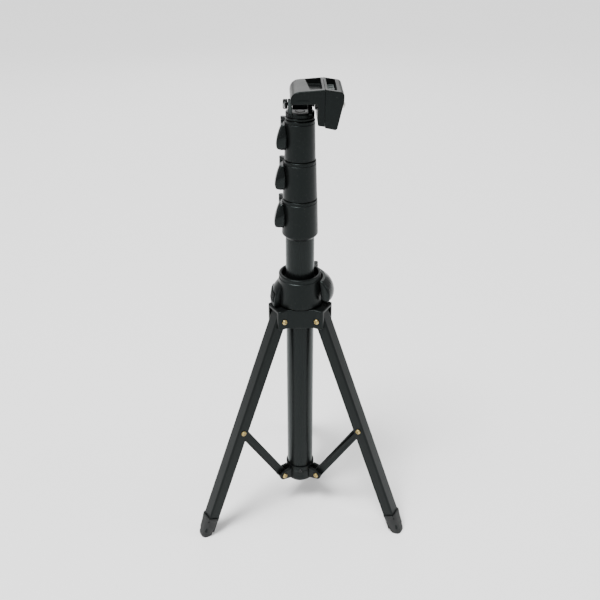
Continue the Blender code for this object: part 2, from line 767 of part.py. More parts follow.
def leg_channel(name, hinge):
    """A sheet-metal channel, open toward the mast, about its hub pivot and along -z."""
    length = LEG_LENGTH - LEG_STOP + LEG_TOP
    depth = LEG_BACK + LEG_EDGE
    middle = LEG_TOP - length / 2
    channel = box(
        name + "_leg", hinge, LEG_PAINT, (depth, LEG_WIDTH, length),
        location=((LEG_BACK - LEG_EDGE) / 2, 0, middle),
    )
    soften(channel, 0.9)
    hollow = box(
        name + "_leg_hollow", hinge, None, (2 * depth, LEG_WIDTH - 2 * LEG_SHEET, length * 1.2),
        location=(LEG_BACK - LEG_SHEET - depth, 0, middle),
    )
    cut(channel, hollow)
    for label, height in (("hub", 0.0), ("brace", -BRACE_PIVOT)):
        hole = rod(
            f"{name}_{label}_hole", hinge, None, SHANK + GAP, 2 * LEG_WIDTH,
            location=(0, 0, height), rotation=ALONG_Y,
        )
        cut(channel, hole)
    return channel


def rubber_foot(name, hinge, row):
    """A tapered rubber shoe over the leg's end, cut flat where it stands on the floor."""
    depth = LEG_BACK + LEG_EDGE + 2 * FOOT_WALL
    width = LEG_WIDTH + 2 * FOOT_WALL
    bottom = -(LEG_LENGTH + 2.2)
    middle_x = (LEG_BACK - LEG_EDGE) / 2
    foot = box(
        name + "_foot", hinge, RUBBER, (depth, width, FOOT_LENGTH),
        location=(middle_x, 0, bottom + FOOT_LENGTH / 2),
    )
    for vert in foot.data.vertices:
        if vert.co.z < 0:
            vert.co.x *= FOOT_TAPER
            vert.co.y *= FOOT_TAPER
    soften(foot, 2.4, segments=2)
    pocket = box(
        name + "_foot_pocket", hinge, None,
        (LEG_BACK + LEG_EDGE + 2 * GAP, LEG_WIDTH + 2 * GAP, FOOT_LENGTH),
        location=(middle_x, 0, bottom + FOOT_LENGTH / 2 + FOOT_SOLE),
    )
    under = 2 * FOOT_LENGTH
    floor = box(name + "_floor", row, None, (under, under, under), location=(FOOT_R, 0, -under / 2))
    return cut(foot, pocket, floor)


def brace(name, pivot):
    """A strut from its pivot in the leg down to the base lug, with a boss that fills the channel."""
    half = BRACE_WIDTH / 2
    outline = [
        *arc((0, 0), half, 0, 180, 7),
        *arc((0, -BRACE_LENGTH), half, 180, 360, 7),
    ]
    strut = plate(name + "_brace", pivot, LEG_PAINT, outline, BRACE_THICK, rotation=UPRIGHT)
    boss = rod(
        name + "_brace_boss", pivot, None, half - 0.1, LEG_WIDTH - 2 * LEG_SHEET - 2 * GAP,
        rotation=ALONG_Y,
    )
    top_hole = rod(name + "_brace_bore", pivot, None, SHANK + GAP, 2 * LEG_WIDTH, rotation=ALONG_Y)
    low_hole = rod(
        name + "_brace_eye", pivot, None, SHANK + GAP, 2 * LEG_WIDTH,
        location=(0, 0, -BRACE_LENGTH), rotation=ALONG_Y,
    )
    return cut(fuse(strut, boss), top_hole, low_hole)


def make_leg(name, angle, hub):
    row = empty(name + "_row", hub, rotation=(0, 0, math.radians(angle)))
    hinge = empty(
        name + "_leg_hinge", row, location=(HUB_PIVOT_R, 0, HUB_PIVOT_Z), rotation=(0, -LEG_TILT, 0)
    )
    leg_channel(name, hinge)
    rubber_foot(name, hinge, row)
    pivot = empty(name + "_brace_hinge", hinge, location=(0, 0, -BRACE_PIVOT),
                  rotation=(0, LEG_TILT + BRACE_TILT, 0))
    brace(name, pivot)
    screw_seat = empty(name + "_screw_seat", hinge, location=(0, 0, -BRACE_PIVOT))
    cross_screw(name + "_leg_screw", screw_seat, LEG_WIDTH, SCREW_SIDE[name])


# ---------------------------------------------------------------- clamp head

def top_plug(parent):
    """Closes the top tube and carries the head; its flange is the pan bearing."""
    radius, _, tube_top = TUBES["top_inner_tube"]
    spigot = radius - TUBE_WALL - GAP
    flange_top = YOKE_BOTTOM - GAP
    profile = [
        (PAN_SCREW_BORE, flange_top), (NECK_RADIUS, flange_top), (NECK_RADIUS, NECK_BOTTOM),
        (radius, NECK_BOTTOM), (radius, tube_top + GAP), (spigot, tube_top + GAP), (spigot, PLUG_BOTTOM),
        (PAN_SCREW_BORE, PLUG_BOTTOM),
    ]
    return turned("top_plug", parent, BLACK_PLASTIC, profile)


def pan_screw(parent):
    """Holds the yoke down on the plug and lets it turn."""
    top = YOKE_FLOOR - 0.2
    under = top - 1.4
    head = PAN_HEAD_BORE - GAP
    shank = PAN_SCREW_BORE - GAP
    profile = [
        (0, top), (head, top), (head, under), (shank, under), (shank, PAN_SCREW_BOTTOM), (0, PAN_SCREW_BOTTOM),
    ]
    return turned("pan_screw", parent, STEEL, profile, closed=False, steps=COARSE)


def tilt_yoke(parent):
    """The round neck with two ears that carry the tilt bolt."""
    counterbore = YOKE_FLOOR - 1.9
    profile = [
        (PAN_HEAD_BORE, YOKE_FLOOR), (NECK_RADIUS - 0.6, YOKE_FLOOR), (NECK_RADIUS, YOKE_FLOOR - 0.6),
        (NECK_RADIUS, YOKE_BOTTOM), (PAN_SCREW_BORE, YOKE_BOTTOM), (PAN_SCREW_BORE, counterbore),
        (PAN_HEAD_BORE, counterbore),
    ]
    yoke = turned("tilt_yoke", parent, BLACK_PLASTIC, profile)
    outline = [
        (-EAR_RADIUS - 1.6, YOKE_FLOOR - 1.0), (EAR_RADIUS + 1.6, YOKE_FLOOR - 1.0),
        *arc((0, TILT_Z), EAR_RADIUS, 0, 180, 7),
    ]
    for side in (-1, 1):
        ear = plate(
            f"yoke_ear_{side}", parent, None, outline, EAR_OUT - EAR_IN,
            location=(side * (EAR_IN + EAR_OUT) / 2, 0, 0), rotation=(math.pi / 2, 0, math.pi / 2),
        )
        fuse(yoke, ear)
    hole = rod("yoke_hole", parent, None, SHANK + GAP, 4 * EAR_OUT, location=(0, 0, TILT_Z), rotation=ALONG_X)
    return cut(yoke, hole)


def tilt_bolt(parent):
    """Crosses both ears; its head is on the right and the wing nut on the left."""
    head = rod(
        "tilt_bolt", parent, STEEL, 2.6, 1.6, steps=6,
        location=(EAR_OUT + GAP + 0.8, 0, 0), rotation=ALONG_X,
    )
    shank_left = -EAR_OUT - 2.4
    shank_right = EAR_OUT + GAP + 0.4
    shank = rod(
        "tilt_bolt_shank", parent, None, SHANK, shank_right - shank_left,
        location=((shank_left + shank_right) / 2, 0, 0), rotation=ALONG_X,
    )
    return fuse(head, shank)


def tilt_wing(parent):
    """The thumb nut on the tilt bolt: a boss with one long wing that curves forward and outward."""
    boss_left = -14.0
    boss_right = -EAR_OUT - GAP
    boss = rod(
        "tilt_wing", parent, GLOSSY_PLASTIC, 4.2, boss_right - boss_left,
        location=((boss_left + boss_right) / 2, 0, 0), rotation=ALONG_X,
    )
    wing_outline = [
        (boss_right, 0), (boss_left + 0.2, 0), *arc((-12.4, -15.5), 2.0, 180, 350, 6), (boss_right, -9),
    ]
    wing = plate("wing_blade", parent, None, wing_outline, 3.4, rotation=(math.radians(-12), 0, 0))
    hole = rod("wing_hole", parent, None, SHANK + GAP, 5.6, location=(-10.4, 0, 0), rotation=ALONG_X)
    return cut(fuse(boss, wing), hole)


def gable(x):
    """Height of the clamp's top edge: it rises to the plane where the jaws meet."""
    if x <= SPLIT_X:
        return HEAD_TOP + (HEAD_APEX - HEAD_TOP) * (x - BLOCK_LEFT) / (SPLIT_X - BLOCK_LEFT)
    return HEAD_APEX - (HEAD_APEX - HEAD_TOP) * (x - SPLIT_X) / (JAW_RIGHT - SPLIT_X)


def clamp_body(parent):
    """The fixed jaw, about the tilt axis: a rounded block with a cored pocket, a skirt and a knuckle."""
    right = SPLIT_X - GAP / 2
    corner = 8.0
    outline = [
        *arc((BLOCK_LEFT + corner, HEAD_TOP + 0.4 - corner), corner, 180, 95, 7),
        (right, gable(right)),
        (right, SKIRT_BOTTOM - 1.2),
        (SKIRT_LEFT, SKIRT_BOTTOM),
        (SKIRT_LEFT, BLOCK_BOTTOM),
        (BLOCK_LEFT, BLOCK_BOTTOM),
    ]
    outline = [(x, z - TILT_Z) for x, z in outline]
    body = plate("clamp_body", parent, BLACK_PLASTIC, outline[::-1], HEAD_DEPTH, rotation=UPRIGHT)
    soften(body, 0.8)
    knuckle_outline = [
        (-EAR_RADIUS, BLOCK_BOTTOM + 1 - TILT_Z),
        *arc((0, 0), EAR_RADIUS, 180, 360, 7),
        (EAR_RADIUS, BLOCK_BOTTOM + 1 - TILT_Z),
    ]
    knuckle = plate(
        "clamp_knuckle", parent, None, knuckle_outline, 2 * (EAR_IN - GAP),
        rotation=(math.pi / 2, 0, math.pi / 2),
    )
    fuse(body, knuckle)
    pocket_from, pocket_to = 6.0, right - POCKET_WALL
    pocket_floor = ROD_Z + 2.9
    pocket = box(
        "body_pocket", parent, None,
        (pocket_to - pocket_from, HEAD_DEPTH - 2 * POCKET_WALL, 20),
        location=((pocket_from + pocket_to) / 2, 0, pocket_floor + 10 - TILT_Z),
    )
    cut(body, pocket)
    hole = rod("clamp_hole", parent, None, SHANK + GAP, 16, location=(0, 0, 0), rotation=ALONG_X)
    cut(body, hole)
    bore_left = ROD_LEFT - 1.0
    for side in (-1, 1):
        bore = rod(
            f"rod_bore_{side}", parent, None, ROD_RADIUS + GAP, HEAD_DEPTH,
            location=(bore_left + HEAD_DEPTH / 2, side * ROD_Y, ROD_Z - TILT_Z), rotation=ALONG_X,
        )
        cut(body, bore)
    spring_bore = rod(
        "spring_bore", parent, None, SPRING_RADIUS + GAP, HEAD_DEPTH,
        location=(bore_left + HEAD_DEPTH / 2, 0, ROD_Z - TILT_Z), rotation=ALONG_X,
    )
    recess = box(
        "body_pad_recess", parent, None, (2 * PAD_DEPTH, PAD_SIZE[0] + 2 * GAP, PAD_SIZE[1] + 2 * GAP),
        location=(right, 0, PAD_Z - TILT_Z),
    )
    return cut(body, spring_bore, recess)


def sliding_jaw(parent):
    """The moving jaw, about the tilt axis height: a pocketed block that tapers toward its foot."""
    left = SPLIT_X + GAP / 2
    corner = 3.5
    outline = [
        (left, gable(left)),
        *arc((JAW_RIGHT - corner, HEAD_TOP - corner), corner, 80, 0, 4),
        (JAW_RIGHT, JAW_SHOULDER_Z),
        (JAW_FOOT_X + 0.6, JAW_FOOT_Z + 1.0),
        (JAW_FOOT_X - 1.0, JAW_FOOT_Z),
        (left, SKIRT_BOTTOM - 1.3),
    ]
    outline = [(x, z - TILT_Z) for x, z in outline]
    jaw = plate("sliding_jaw", parent, BLACK_PLASTIC, outline[::-1], HEAD_DEPTH, rotation=UPRIGHT)
    soften(jaw, 0.8)
    pocket = box(
        "jaw_pocket", parent, None,
        (JAW_POCKET[1] - JAW_POCKET[0], HEAD_DEPTH - 2 * POCKET_WALL, 40),
        location=(sum(JAW_POCKET) / 2, 0, JAW_POCKET_FLOOR + 20 - TILT_Z),
    )
    cut(jaw, pocket)
    for side in (-1, 1):
        bore = rod(
            f"jaw_rod_bore_{side}", parent, None, ROD_RADIUS + GAP, 8,
            location=(left + 2, side * ROD_Y, ROD_Z - TILT_Z), rotation=ALONG_X,
        )
        cut(jaw, bore)
    stud_hole = rod(
        "jaw_stud_hole", parent, None, SHANK + GAP, 12,
        location=(JAW_RIGHT, 0, JAW_STUD_Z - TILT_Z), rotation=ALONG_X,
    )
    recess = box(
        "jaw_pad_recess", parent, None, (2 * PAD_DEPTH, PAD_SIZE[0] + 2 * GAP, PAD_SIZE[1] + 2 * GAP),
        location=(left, 0, PAD_Z - TILT_Z),
    )
    return cut(jaw, stud_hole, recess)


def jaw_block(parent):
    """The block inside the jaw's pocket that holds both guide rods."""
    block = box(
        "jaw_block", parent, NYLON,
        (JAW_POCKET[1] - JAW_POCKET[0] - 2 * GAP, HEAD_DEPTH - 2 * POCKET_WALL - 2 * GAP, 20.0),
        location=(sum(JAW_POCKET) / 2, 0, JAW_POCKET_FLOOR + GAP + 10.0 - TILT_Z),
    )
    soften(block, 0.6)
    for side in (-1, 1):
        bore = rod(
            f"block_bore_{side}", parent, None, ROD_RADIUS + GAP, 30,
            location=(sum(JAW_POCKET) / 2, side * ROD_Y, ROD_Z - TILT_Z), rotation=ALONG_X,
        )
        cut(block, bore)
    stud_hole = rod(
        "block_stud_hole", parent, None, SHANK + GAP, 20,
        location=(JAW_RIGHT, 0, JAW_STUD_Z - TILT_Z), rotation=ALONG_X,
    )
    return cut(block, stud_hole)


def jaw_rod(name, parent, side):
    """A steel rod fixed in the jaw's block, which slides in the fixed jaw."""
    left = ROD_LEFT
    right = JAW_POCKET[1] - GAP - 0.4
    return rod(
        name, parent, STEEL, ROD_RADIUS, right - left,
        location=((left + right) / 2, side * ROD_Y, ROD_Z - TILT_Z), rotation=ALONG_X,
    )


def jaw_stud(parent):
    """The metal stud that fastens the block, its round head standing out at the right end."""
    profile = [
        (0, 3.6), (1.6, 3.3), (2.5, 2.4), (2.5, 0), (SHANK, 0), (SHANK, -8.0), (0, -8.0),
    ]
    seat = jaw_side_x(JAW_STUD_Z) + GAP + 0.5
    return turned(
        "jaw_stud", parent, STEEL, profile, closed=False, steps=COARSE,
        location=(seat, 0, JAW_STUD_Z - TILT_Z), rotation=ALONG_X,
    )


def jaw_side_x(height):
    """Where the jaw's slanting right side is at a given height."""
    along = (height - JAW_FOOT_Z - 1.0) / (JAW_SHOULDER_Z - JAW_FOOT_Z - 1.0)
    return JAW_FOOT_X + 0.6 + (JAW_RIGHT - JAW_FOOT_X - 0.6) * along


def grip_pad(name, parent, side):
    """A rubber pad let into the face of a jaw."""
    face = SPLIT_X + side * (GAP / 2 + PAD_DEPTH - GAP)
    thick = PAD_DEPTH - GAP
    pad = box(
        name, parent, RUBBER, (thick, *PAD_SIZE),
        location=(face - side * thick / 2, 0, PAD_Z - TILT_Z),
    )
    return pad


def jaw_spring(parent):
    """The tension spring between the jaws, as the plain tube that its turns fill."""
    left = ROD_LEFT
    right = SPLIT_X - GAP - 1.0
    half = (right - left) / 2
    inner = SPRING_RADIUS - 0.7
    profile = [(SPRING_RADIUS, half), (SPRING_RADIUS, -half), (inner, -half), (inner, half)]
    return turned(
        "jaw_spring", parent, STEEL, profile, steps=COARSE,
        location=((left + right) / 2, 0, ROD_Z - TILT_Z), rotation=ALONG_X,
    )


def make_head(parent):
    pan = empty("pan_axis", parent)
    pan_screw(parent)
    tilt_yoke(pan)
    tilt = empty("tilt_axis", pan, location=(0, 0, TILT_Z))
    tilt_bolt(tilt)
    wing = empty("wing_axis", tilt)
    tilt_wing(wing)
    clamp = empty("clamp_axis", tilt)
    clamp_body(clamp)
    grip_pad("fixed_pad", clamp, -1)
    jaw_spring(clamp)
    slide = empty("jaw_slide", clamp)
    sliding_jaw(slide)
    jaw_block(slide)
    jaw_rod("front_jaw_rod", slide, -1)
    jaw_rod("rear_jaw_rod", slide, 1)
    jaw_stud(slide)
    grip_pad("jaw_pad", slide, 1)


# ---------------------------------------------------------------- assembly

def main():
    mast = empty("mast_axis", location=(0, MAST_Y, 0))
    screw_hole = cap_screw(mast)
    cut(mast_tube("outer_tube", mast), screw_hole)
    cut(base_cap(mast), screw_hole)
    make_lock("lower", mast)

    carrier = mast
    for name, lock in (("lower_inner_tube", "middle"), ("middle_inner_tube", "upper")):
        carrier = empty(name + "_slide", carrier)
        mast_tube(name, carrier)
        tube_guide(name, carrier)
        make_lock(lock, carrier)
    carrier = empty("top_inner_tube_slide", carrier)
    mast_tube("top_inner_tube", carrier)
    tube_guide("top_inner_tube", carrier)
    top_plug(carrier)
    make_head(carrier)

    hub = empty("hub_slide", mast)
    hub_spider(hub)
    hub_sleeve(hub)
    collar_housing(hub)
    pin_x, pin_y = collar_pin()
    rod(
        "collar_pin", hub, STEEL, PIN_RADIUS,
        COLLAR_LEVER_HIGH - COLLAR_LEVER_LOW + 2 * (EAR_THICK + GAP),
        location=(pin_x, pin_y, (COLLAR_LEVER_HIGH + COLLAR_LEVER_LOW) / 2),
    )
    collar_lever(empty("collar_lever_hinge", hub, location=(pin_x, pin_y, 0)))
    for name, angle in LEG_ROWS.items():
        lug_screw(name, mast)
        hub_screw(name, hub)
        make_leg(name, angle, hub)


clear_scene()
PARTS = make_collection(COLLECTION)
CUTTERS = make_collection(COLLECTION + "_cutters")
main()
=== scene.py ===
import json
import math

import bpy
from mathutils import Euler, Matrix, Vector


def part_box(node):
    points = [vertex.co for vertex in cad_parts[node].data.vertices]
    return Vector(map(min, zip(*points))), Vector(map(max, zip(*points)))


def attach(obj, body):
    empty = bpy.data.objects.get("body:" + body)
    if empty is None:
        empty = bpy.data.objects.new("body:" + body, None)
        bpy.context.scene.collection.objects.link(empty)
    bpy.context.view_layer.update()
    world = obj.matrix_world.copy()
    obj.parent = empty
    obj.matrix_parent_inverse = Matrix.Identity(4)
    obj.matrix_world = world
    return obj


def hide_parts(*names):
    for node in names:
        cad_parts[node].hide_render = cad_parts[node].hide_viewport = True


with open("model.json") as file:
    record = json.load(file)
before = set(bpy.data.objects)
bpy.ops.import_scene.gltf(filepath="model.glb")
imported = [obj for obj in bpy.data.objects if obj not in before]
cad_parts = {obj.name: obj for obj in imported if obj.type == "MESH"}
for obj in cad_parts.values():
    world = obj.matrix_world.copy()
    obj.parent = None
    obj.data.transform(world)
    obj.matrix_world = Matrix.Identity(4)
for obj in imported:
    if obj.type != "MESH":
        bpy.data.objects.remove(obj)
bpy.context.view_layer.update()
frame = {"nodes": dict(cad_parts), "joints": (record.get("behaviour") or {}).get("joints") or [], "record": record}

# ---- places taken from the frame

MM = 0.001
FINE = 96  # sides of the tubes, locks, collar and cap
SMALL = 40  # sides of screws and pins
GAP = 0.3  # clearance between neighbouring pieces
WELD = 0.001 * MM  # vertices closer than this become one
SCREW_R = 1.5  # shank of the brass screws and of the tilt bolt
SCREW_HOLE = 1.8  # hole for such a shank in a leg or a brace
PIN_R = 1.0  # pins of the levers
PIN_BORE = 1.15  # a lever's bore on its pin
BARREL = 2.2  # a lever's round back about its pin
EAR_THICK = 2.6  # ears that hold a lever's pin
JOINTS = {joint["name"]: joint for joint in frame["joints"]}


def place_of(joint):
    """A joint's point, in millimetres."""
    return Vector(JOINTS[joint]["pos_m"]) / MM


def low(node):
    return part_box(node)[0] / MM


def high(node):
    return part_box(node)[1] / MM


def middle(node):
    return (low(node) + high(node)) / 2


def levels(node):
    """The heights of a node's lower and upper end."""
    return low(node).z, high(node).z


def from_mast(point):
    """A point's distance from the mast's axis."""
    return math.hypot(point.x, point.y - MAST.y)


MAST = Vector((0, middle("outer_tube").y, 0))
ROWS = {
    name: math.atan2(place_of(name + "_leg_hinge").y - MAST.y, place_of(name + "_leg_hinge").x)
    for name in ("right", "left", "rear")
}
SCREW_SIDE = {"right": -1, "left": 1, "rear": 1}  # which side of its leg each screw's head is on
HUB_PIVOT_R = from_mast(place_of("right_leg_hinge"))
HUB_PIVOT_Z = place_of("right_leg_hinge").z
BRACE_PIVOT_R = from_mast(place_of("right_brace_hinge"))
BRACE_PIVOT_Z = place_of("right_brace_hinge").z
LEG_TILT = math.atan2(BRACE_PIVOT_R - HUB_PIVOT_R, HUB_PIVOT_Z - BRACE_PIVOT_Z)
LEG_LENGTH = HUB_PIVOT_Z / math.cos(LEG_TILT)
BRACE_PIVOT = (HUB_PIVOT_Z - BRACE_PIVOT_Z) / math.cos(LEG_TILT)
LUG_R = from_mast(middle("right_lug_screw"))
LUG_Z = middle("right_lug_screw").z
TUBE_R = (high("outer_tube").x - low("outer_tube").x) / 2


# ---- modelling tools

def deselect():
    if bpy.context.object and bpy.context.object.mode != "OBJECT":
        bpy.ops.object.mode_set(mode="OBJECT")
    bpy.ops.object.select_all(action="DESELECT")


def activate(obj):
    deselect()
    obj.select_set(True)
    bpy.context.view_layer.objects.active = obj


def pen(name, points, closed=True):
    """Draws a chain of edges through points, from one vertex, and leaves it selected in edit mode."""
    deselect()
    bpy.ops.mesh.primitive_plane_add(size=MM)
    obj = bpy.context.object
    obj.name = name
    obj.data.name = name
    bpy.ops.object.mode_set(mode="EDIT")
    bpy.ops.mesh.merge(type="CENTER")
    here = Vector((0, 0, 0))
    path = [Vector(point).to_3d() for point in points]
    bpy.ops.transform.translate(value=(path[0] - here) * MM)
    for start, end in zip(path, path[1:] + path[:1] * closed):
        bpy.ops.mesh.extrude_region_move(TRANSFORM_OT_translate={"value": (end - start) * MM})
    bpy.ops.mesh.select_all(action="SELECT")
    bpy.ops.mesh.remove_doubles(threshold=WELD)
    return obj


def outward():
    bpy.ops.mesh.select_all(action="SELECT")
    bpy.ops.mesh.remove_doubles(threshold=WELD)
    bpy.ops.mesh.normals_make_consistent(inside=False)
    bpy.ops.object.mode_set(mode="OBJECT")


def turned(name, profile, closed=True, steps=FINE, angle=2 * math.pi):
    """A profile of (radius, height) points spun round the z axis."""
    obj = pen(name, [(radius, 0, z) for radius, z in profile], closed)
    if angle < 2 * math.pi:
        bpy.ops.mesh.edge_face_add()
    bpy.ops.mesh.spin(steps=steps, angle=angle, center=(0, 0, 0), axis=(0, 0, 1))
    outward()
    return obj


def slab(name, outline, thickness):
    """An outline of (x, y) points, extruded evenly to both sides of z = 0."""
    obj = pen(name, [(x, y, -thickness / 2) for x, y in outline])
    bpy.ops.mesh.edge_face_add()
    bpy.ops.mesh.extrude_region_move(TRANSFORM_OT_translate={"value": (0, 0, thickness * MM)})
    outward()
    return obj


def block(name, size, centre=(0, 0, 0)):
    deselect()
    bpy.ops.mesh.primitive_cube_add(size=MM, location=Vector(centre) * MM, scale=size)
    obj = bpy.context.object
    obj.name = name
    bpy.ops.object.transform_apply()
    return obj


def drill(name, radius, length, centre=(0, 0, 0), turn=(0, 0, 0), sides=SMALL):
    deselect()
    bpy.ops.mesh.primitive_cylinder_add(
        vertices=sides, radius=radius * MM, depth=length * MM, location=Vector(centre) * MM, rotation=turn
    )
    obj = bpy.context.object
    obj.name = name
    bpy.ops.object.transform_apply()
    return obj


def apply(obj, kind, **settings):
    activate(obj)
    step = obj.modifiers.new(kind.lower(), kind)
    for key, value in settings.items():
        setattr(step, key, value)
    bpy.ops.object.modifier_apply(modifier=step.name)
    return obj


def discard(*spares):
    for spare in spares:
        bpy.data.objects.remove(spare, do_unlink=True)


def combine(obj, other, operation):
    apply(obj, "BOOLEAN", object=other, operation=operation, solver="EXACT")
    discard(other)
    return obj


def cut(obj, *others):
    for other in others:
        combine(obj, other, "DIFFERENCE")
    return obj


def fuse(obj, *others):
    for other in others:
        combine(obj, other, "UNION")
    return obj


def settle(obj, matrix):
    """Moves a piece modelled about the origin to its place, which ends up in its mesh."""
    activate(obj)
    obj.matrix_world = matrix
    bpy.ops.object.transform_apply()
    return obj


def soften(obj, width, segments=3, angle=30.0):
    return apply(
        obj, "BEVEL", width=width * MM, segments=segments, limit_method="ANGLE",
        angle_limit=math.radians(angle), use_clamp_overlap=True,
    )


def done(obj, paint, body, *nodes, smooth=32.0, even=True):
    """Shades a finished piece, paints it, and ties it to its body and the CAD nodes it stands for."""
    activate(obj)
    bpy.ops.object.shade_smooth_by_angle(angle=math.radians(smooth))
    if even:
        apply(obj, "WEIGHTED_NORMAL", keep_sharp=True, weight=60)
    obj.data.materials.clear()
    obj.data.materials.append(PAINTS[paint])
    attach(obj, body)
    if nodes:
        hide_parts(*nodes)
    return obj


def copied(obj, name):
    twin = obj.copy()
    twin.data = obj.data.copy()
    twin.name = name
    bpy.context.collection.objects.link(twin)
    return twin


def arc(centre, radius, start, end, steps):
    turns = [math.radians(start + (end - start) * i / steps) for i in range(steps + 1)]
    return [(centre[0] + radius * math.cos(a), centre[1] + radius * math.sin(a)) for a in turns]


def polar(radius, degrees):
    return (radius * math.cos(math.radians(degrees)), radius * math.sin(math.radians(degrees)))


def at(point, turn=(0, 0, 0)):
    """A placing matrix: a turn in radians, then a move in millimetres."""
    return Matrix.Translation(Vector(point) * MM) @ Euler(turn).to_matrix().to_4x4()


def row(name):
    """The matrix of a leg's row: x points outward from the mast and y is tangential."""
    return at(MAST) @ Matrix.Rotation(ROWS[name], 4, "Z")


STAND_UP = (math.pi / 2, 0, 0)  # turns a slab's plane from x-y to x-z
STAND_SIDE = (math.pi / 2, 0, math.pi / 2)  # turns a slab's plane from x-y to y-z
ALONG_X = (0, math.pi / 2, 0)
ALONG_Y = (math.pi / 2, 0, 0)


# ---- materials

class Value:
    """A shader socket that works in Python expressions."""

    def __init__(self, paint, socket):
        self.paint = paint
        self.socket = socket

    def math(self, operation, first, second):
        return self.paint.node("ShaderNodeMath", {"operation": operation}, [first, second])

    def __add__(self, other):
        return self.math("ADD", self, other)

    def __sub__(self, other):
        return self.math("SUBTRACT", self, other)

    def __rsub__(self, other):
        return self.math("SUBTRACT", other, self)

    def __mul__(self, other):
        return self.math("MULTIPLY", self, other)

    __radd__ = __add__
    __rmul__ = __mul__


class Paint:
    """A material under construction, on one Principled shader."""

    def __init__(self, name):
        self.material = bpy.data.materials.new(name)
        self.material.use_nodes = True
        self.tree = self.material.node_tree
        self.shader = self.tree.nodes["Principled BSDF"]
        self.place = self.node("ShaderNodeTexCoord", output="Object")

    def node(self, kind, settings=None, inputs=(), output=0):
        made = self.tree.nodes.new(kind)
        for key, value in (settings or {}).items():
            if key == "stops":
                self.fill_ramp(made.color_ramp, value)
            else:
                setattr(made, key, value)
        pairs = inputs.items() if isinstance(inputs, dict) else enumerate(inputs)
        for key, value in pairs:
            self.feed(made.inputs[key], value)
        return Value(self, made.outputs[output])

    def fill_ramp(self, ramp, stops):
        while len(ramp.elements) < len(stops):
            ramp.elements.new(1.0)
        for element, (position, colour) in zip(ramp.elements, stops):
            element.position = position
            element.color = (*colour, 1.0)

    def feed(self, socket, value):
        if isinstance(value, Value):
            self.tree.links.new(value.socket, socket)
        else:
            socket.default_value = value

    def set(self, **values):
        for key, value in values.items():
            self.feed(self.shader.inputs[key.replace("_", " ")], value)

    def noise(self, scale, detail=2.0, stretch=(1, 1, 1)):
        where = self.node("ShaderNodeMapping", inputs={"Vector": self.place, "Scale": stretch})
        return self.node("ShaderNodeTexNoise", inputs={"Vector": where, "Scale": scale, "Detail": detail})

    def range(self, value, low, high, to_low, to_high):
        return self.node("ShaderNodeMapRange", inputs=[value, low, high, to_low, to_high])

    def mix(self, factor, first, second):
        """Mixes two colours; 6, 7 and 2 are the node's colour inputs and its colour output."""
        return self.node(
            "ShaderNodeMix", {"data_type": "RGBA"}, {"Factor": factor, 6: first, 7: second}, output=2
        )

    def bump(self, height, strength, distance, normal=None):
        inputs = {"Strength": strength, "Distance": distance, "Height": height}
        if normal is not None:
            inputs["Normal"] = normal
        return self.node("ShaderNodeBump", inputs=inputs)


SHEEN = (0.84, 1.0, 0.98, 1.0)  # tint of the reflections on the black finishes


def grey(tone):
    """A near-black with the faint green-blue cast of the tripod's plastics, from one tone."""
    return (tone * 0.92, tone * 1.03, tone * 1.02, 1.0)


def moulded(name, tone, rough, grain, shine=0.5):
    """Moulded plastic: fine spark-eroded grain, faint flow clouds, rubbed and dusty patches."""
    paint = Paint(name)
    fine = paint.noise(2600.0, 3.0)
    cloud = paint.noise(34.0, 4.0)
    scuff = paint.range(paint.noise(150.0, 6.0, (1.0, 1.0, 0.35)), 0.60, 0.74, 0.0, 1.0)
    dust = paint.range(paint.noise(900.0, 1.0), 0.68, 0.78, 0.0, 1.0)
    base = paint.mix(cloud, grey(tone * 0.82), grey(tone * 1.22))
    base = paint.mix(scuff * 0.22, base, grey(tone * 2.6))
    base = paint.mix(dust * 0.10, base, (0.16, 0.16, 0.155, 1.0))
    paint.set(
        Base_Color=base,
        Roughness=paint.range(cloud + scuff * 0.35, 0.25, 1.05, rough - 0.05, rough + 0.10),
        Specular_IOR_Level=shine,
        Specular_Tint=SHEEN,
        Normal=paint.bump(fine, grain, 0.00006, paint.bump(cloud, 0.05, 0.0004)),
    )
    return paint.material


def anodised(name, tone):
    """Black anodised tube, drawn lengthwise: fine lines along the mast and a few rub marks from the locks."""
    paint = Paint(name)
    drawn = paint.noise(1500.0, 3.0, (1.0, 1.0, 0.012))
    cloud = paint.noise(22.0, 3.0, (1.0, 1.0, 0.4))
    rub = paint.range(paint.noise(420.0, 4.0, (1.0, 1.0, 0.03)), 0.63, 0.74, 0.0, 1.0)
    base = paint.mix(cloud, grey(tone * 0.85), grey(tone * 1.18))
    base = paint.mix(rub * 0.30, base, grey(tone * 2.2))
    paint.set(
        Base_Color=base,
        Metallic=0.15,
        Specular_IOR_Level=0.16,
        Specular_Tint=SHEEN,
        Roughness=paint.range(drawn, 0.3, 0.7, 0.24, 0.36),
        Normal=paint.bump(drawn, 0.10, 0.00005),
        Coat_Weight=0.02,
        Coat_Roughness=0.25,
    )
    return paint.material


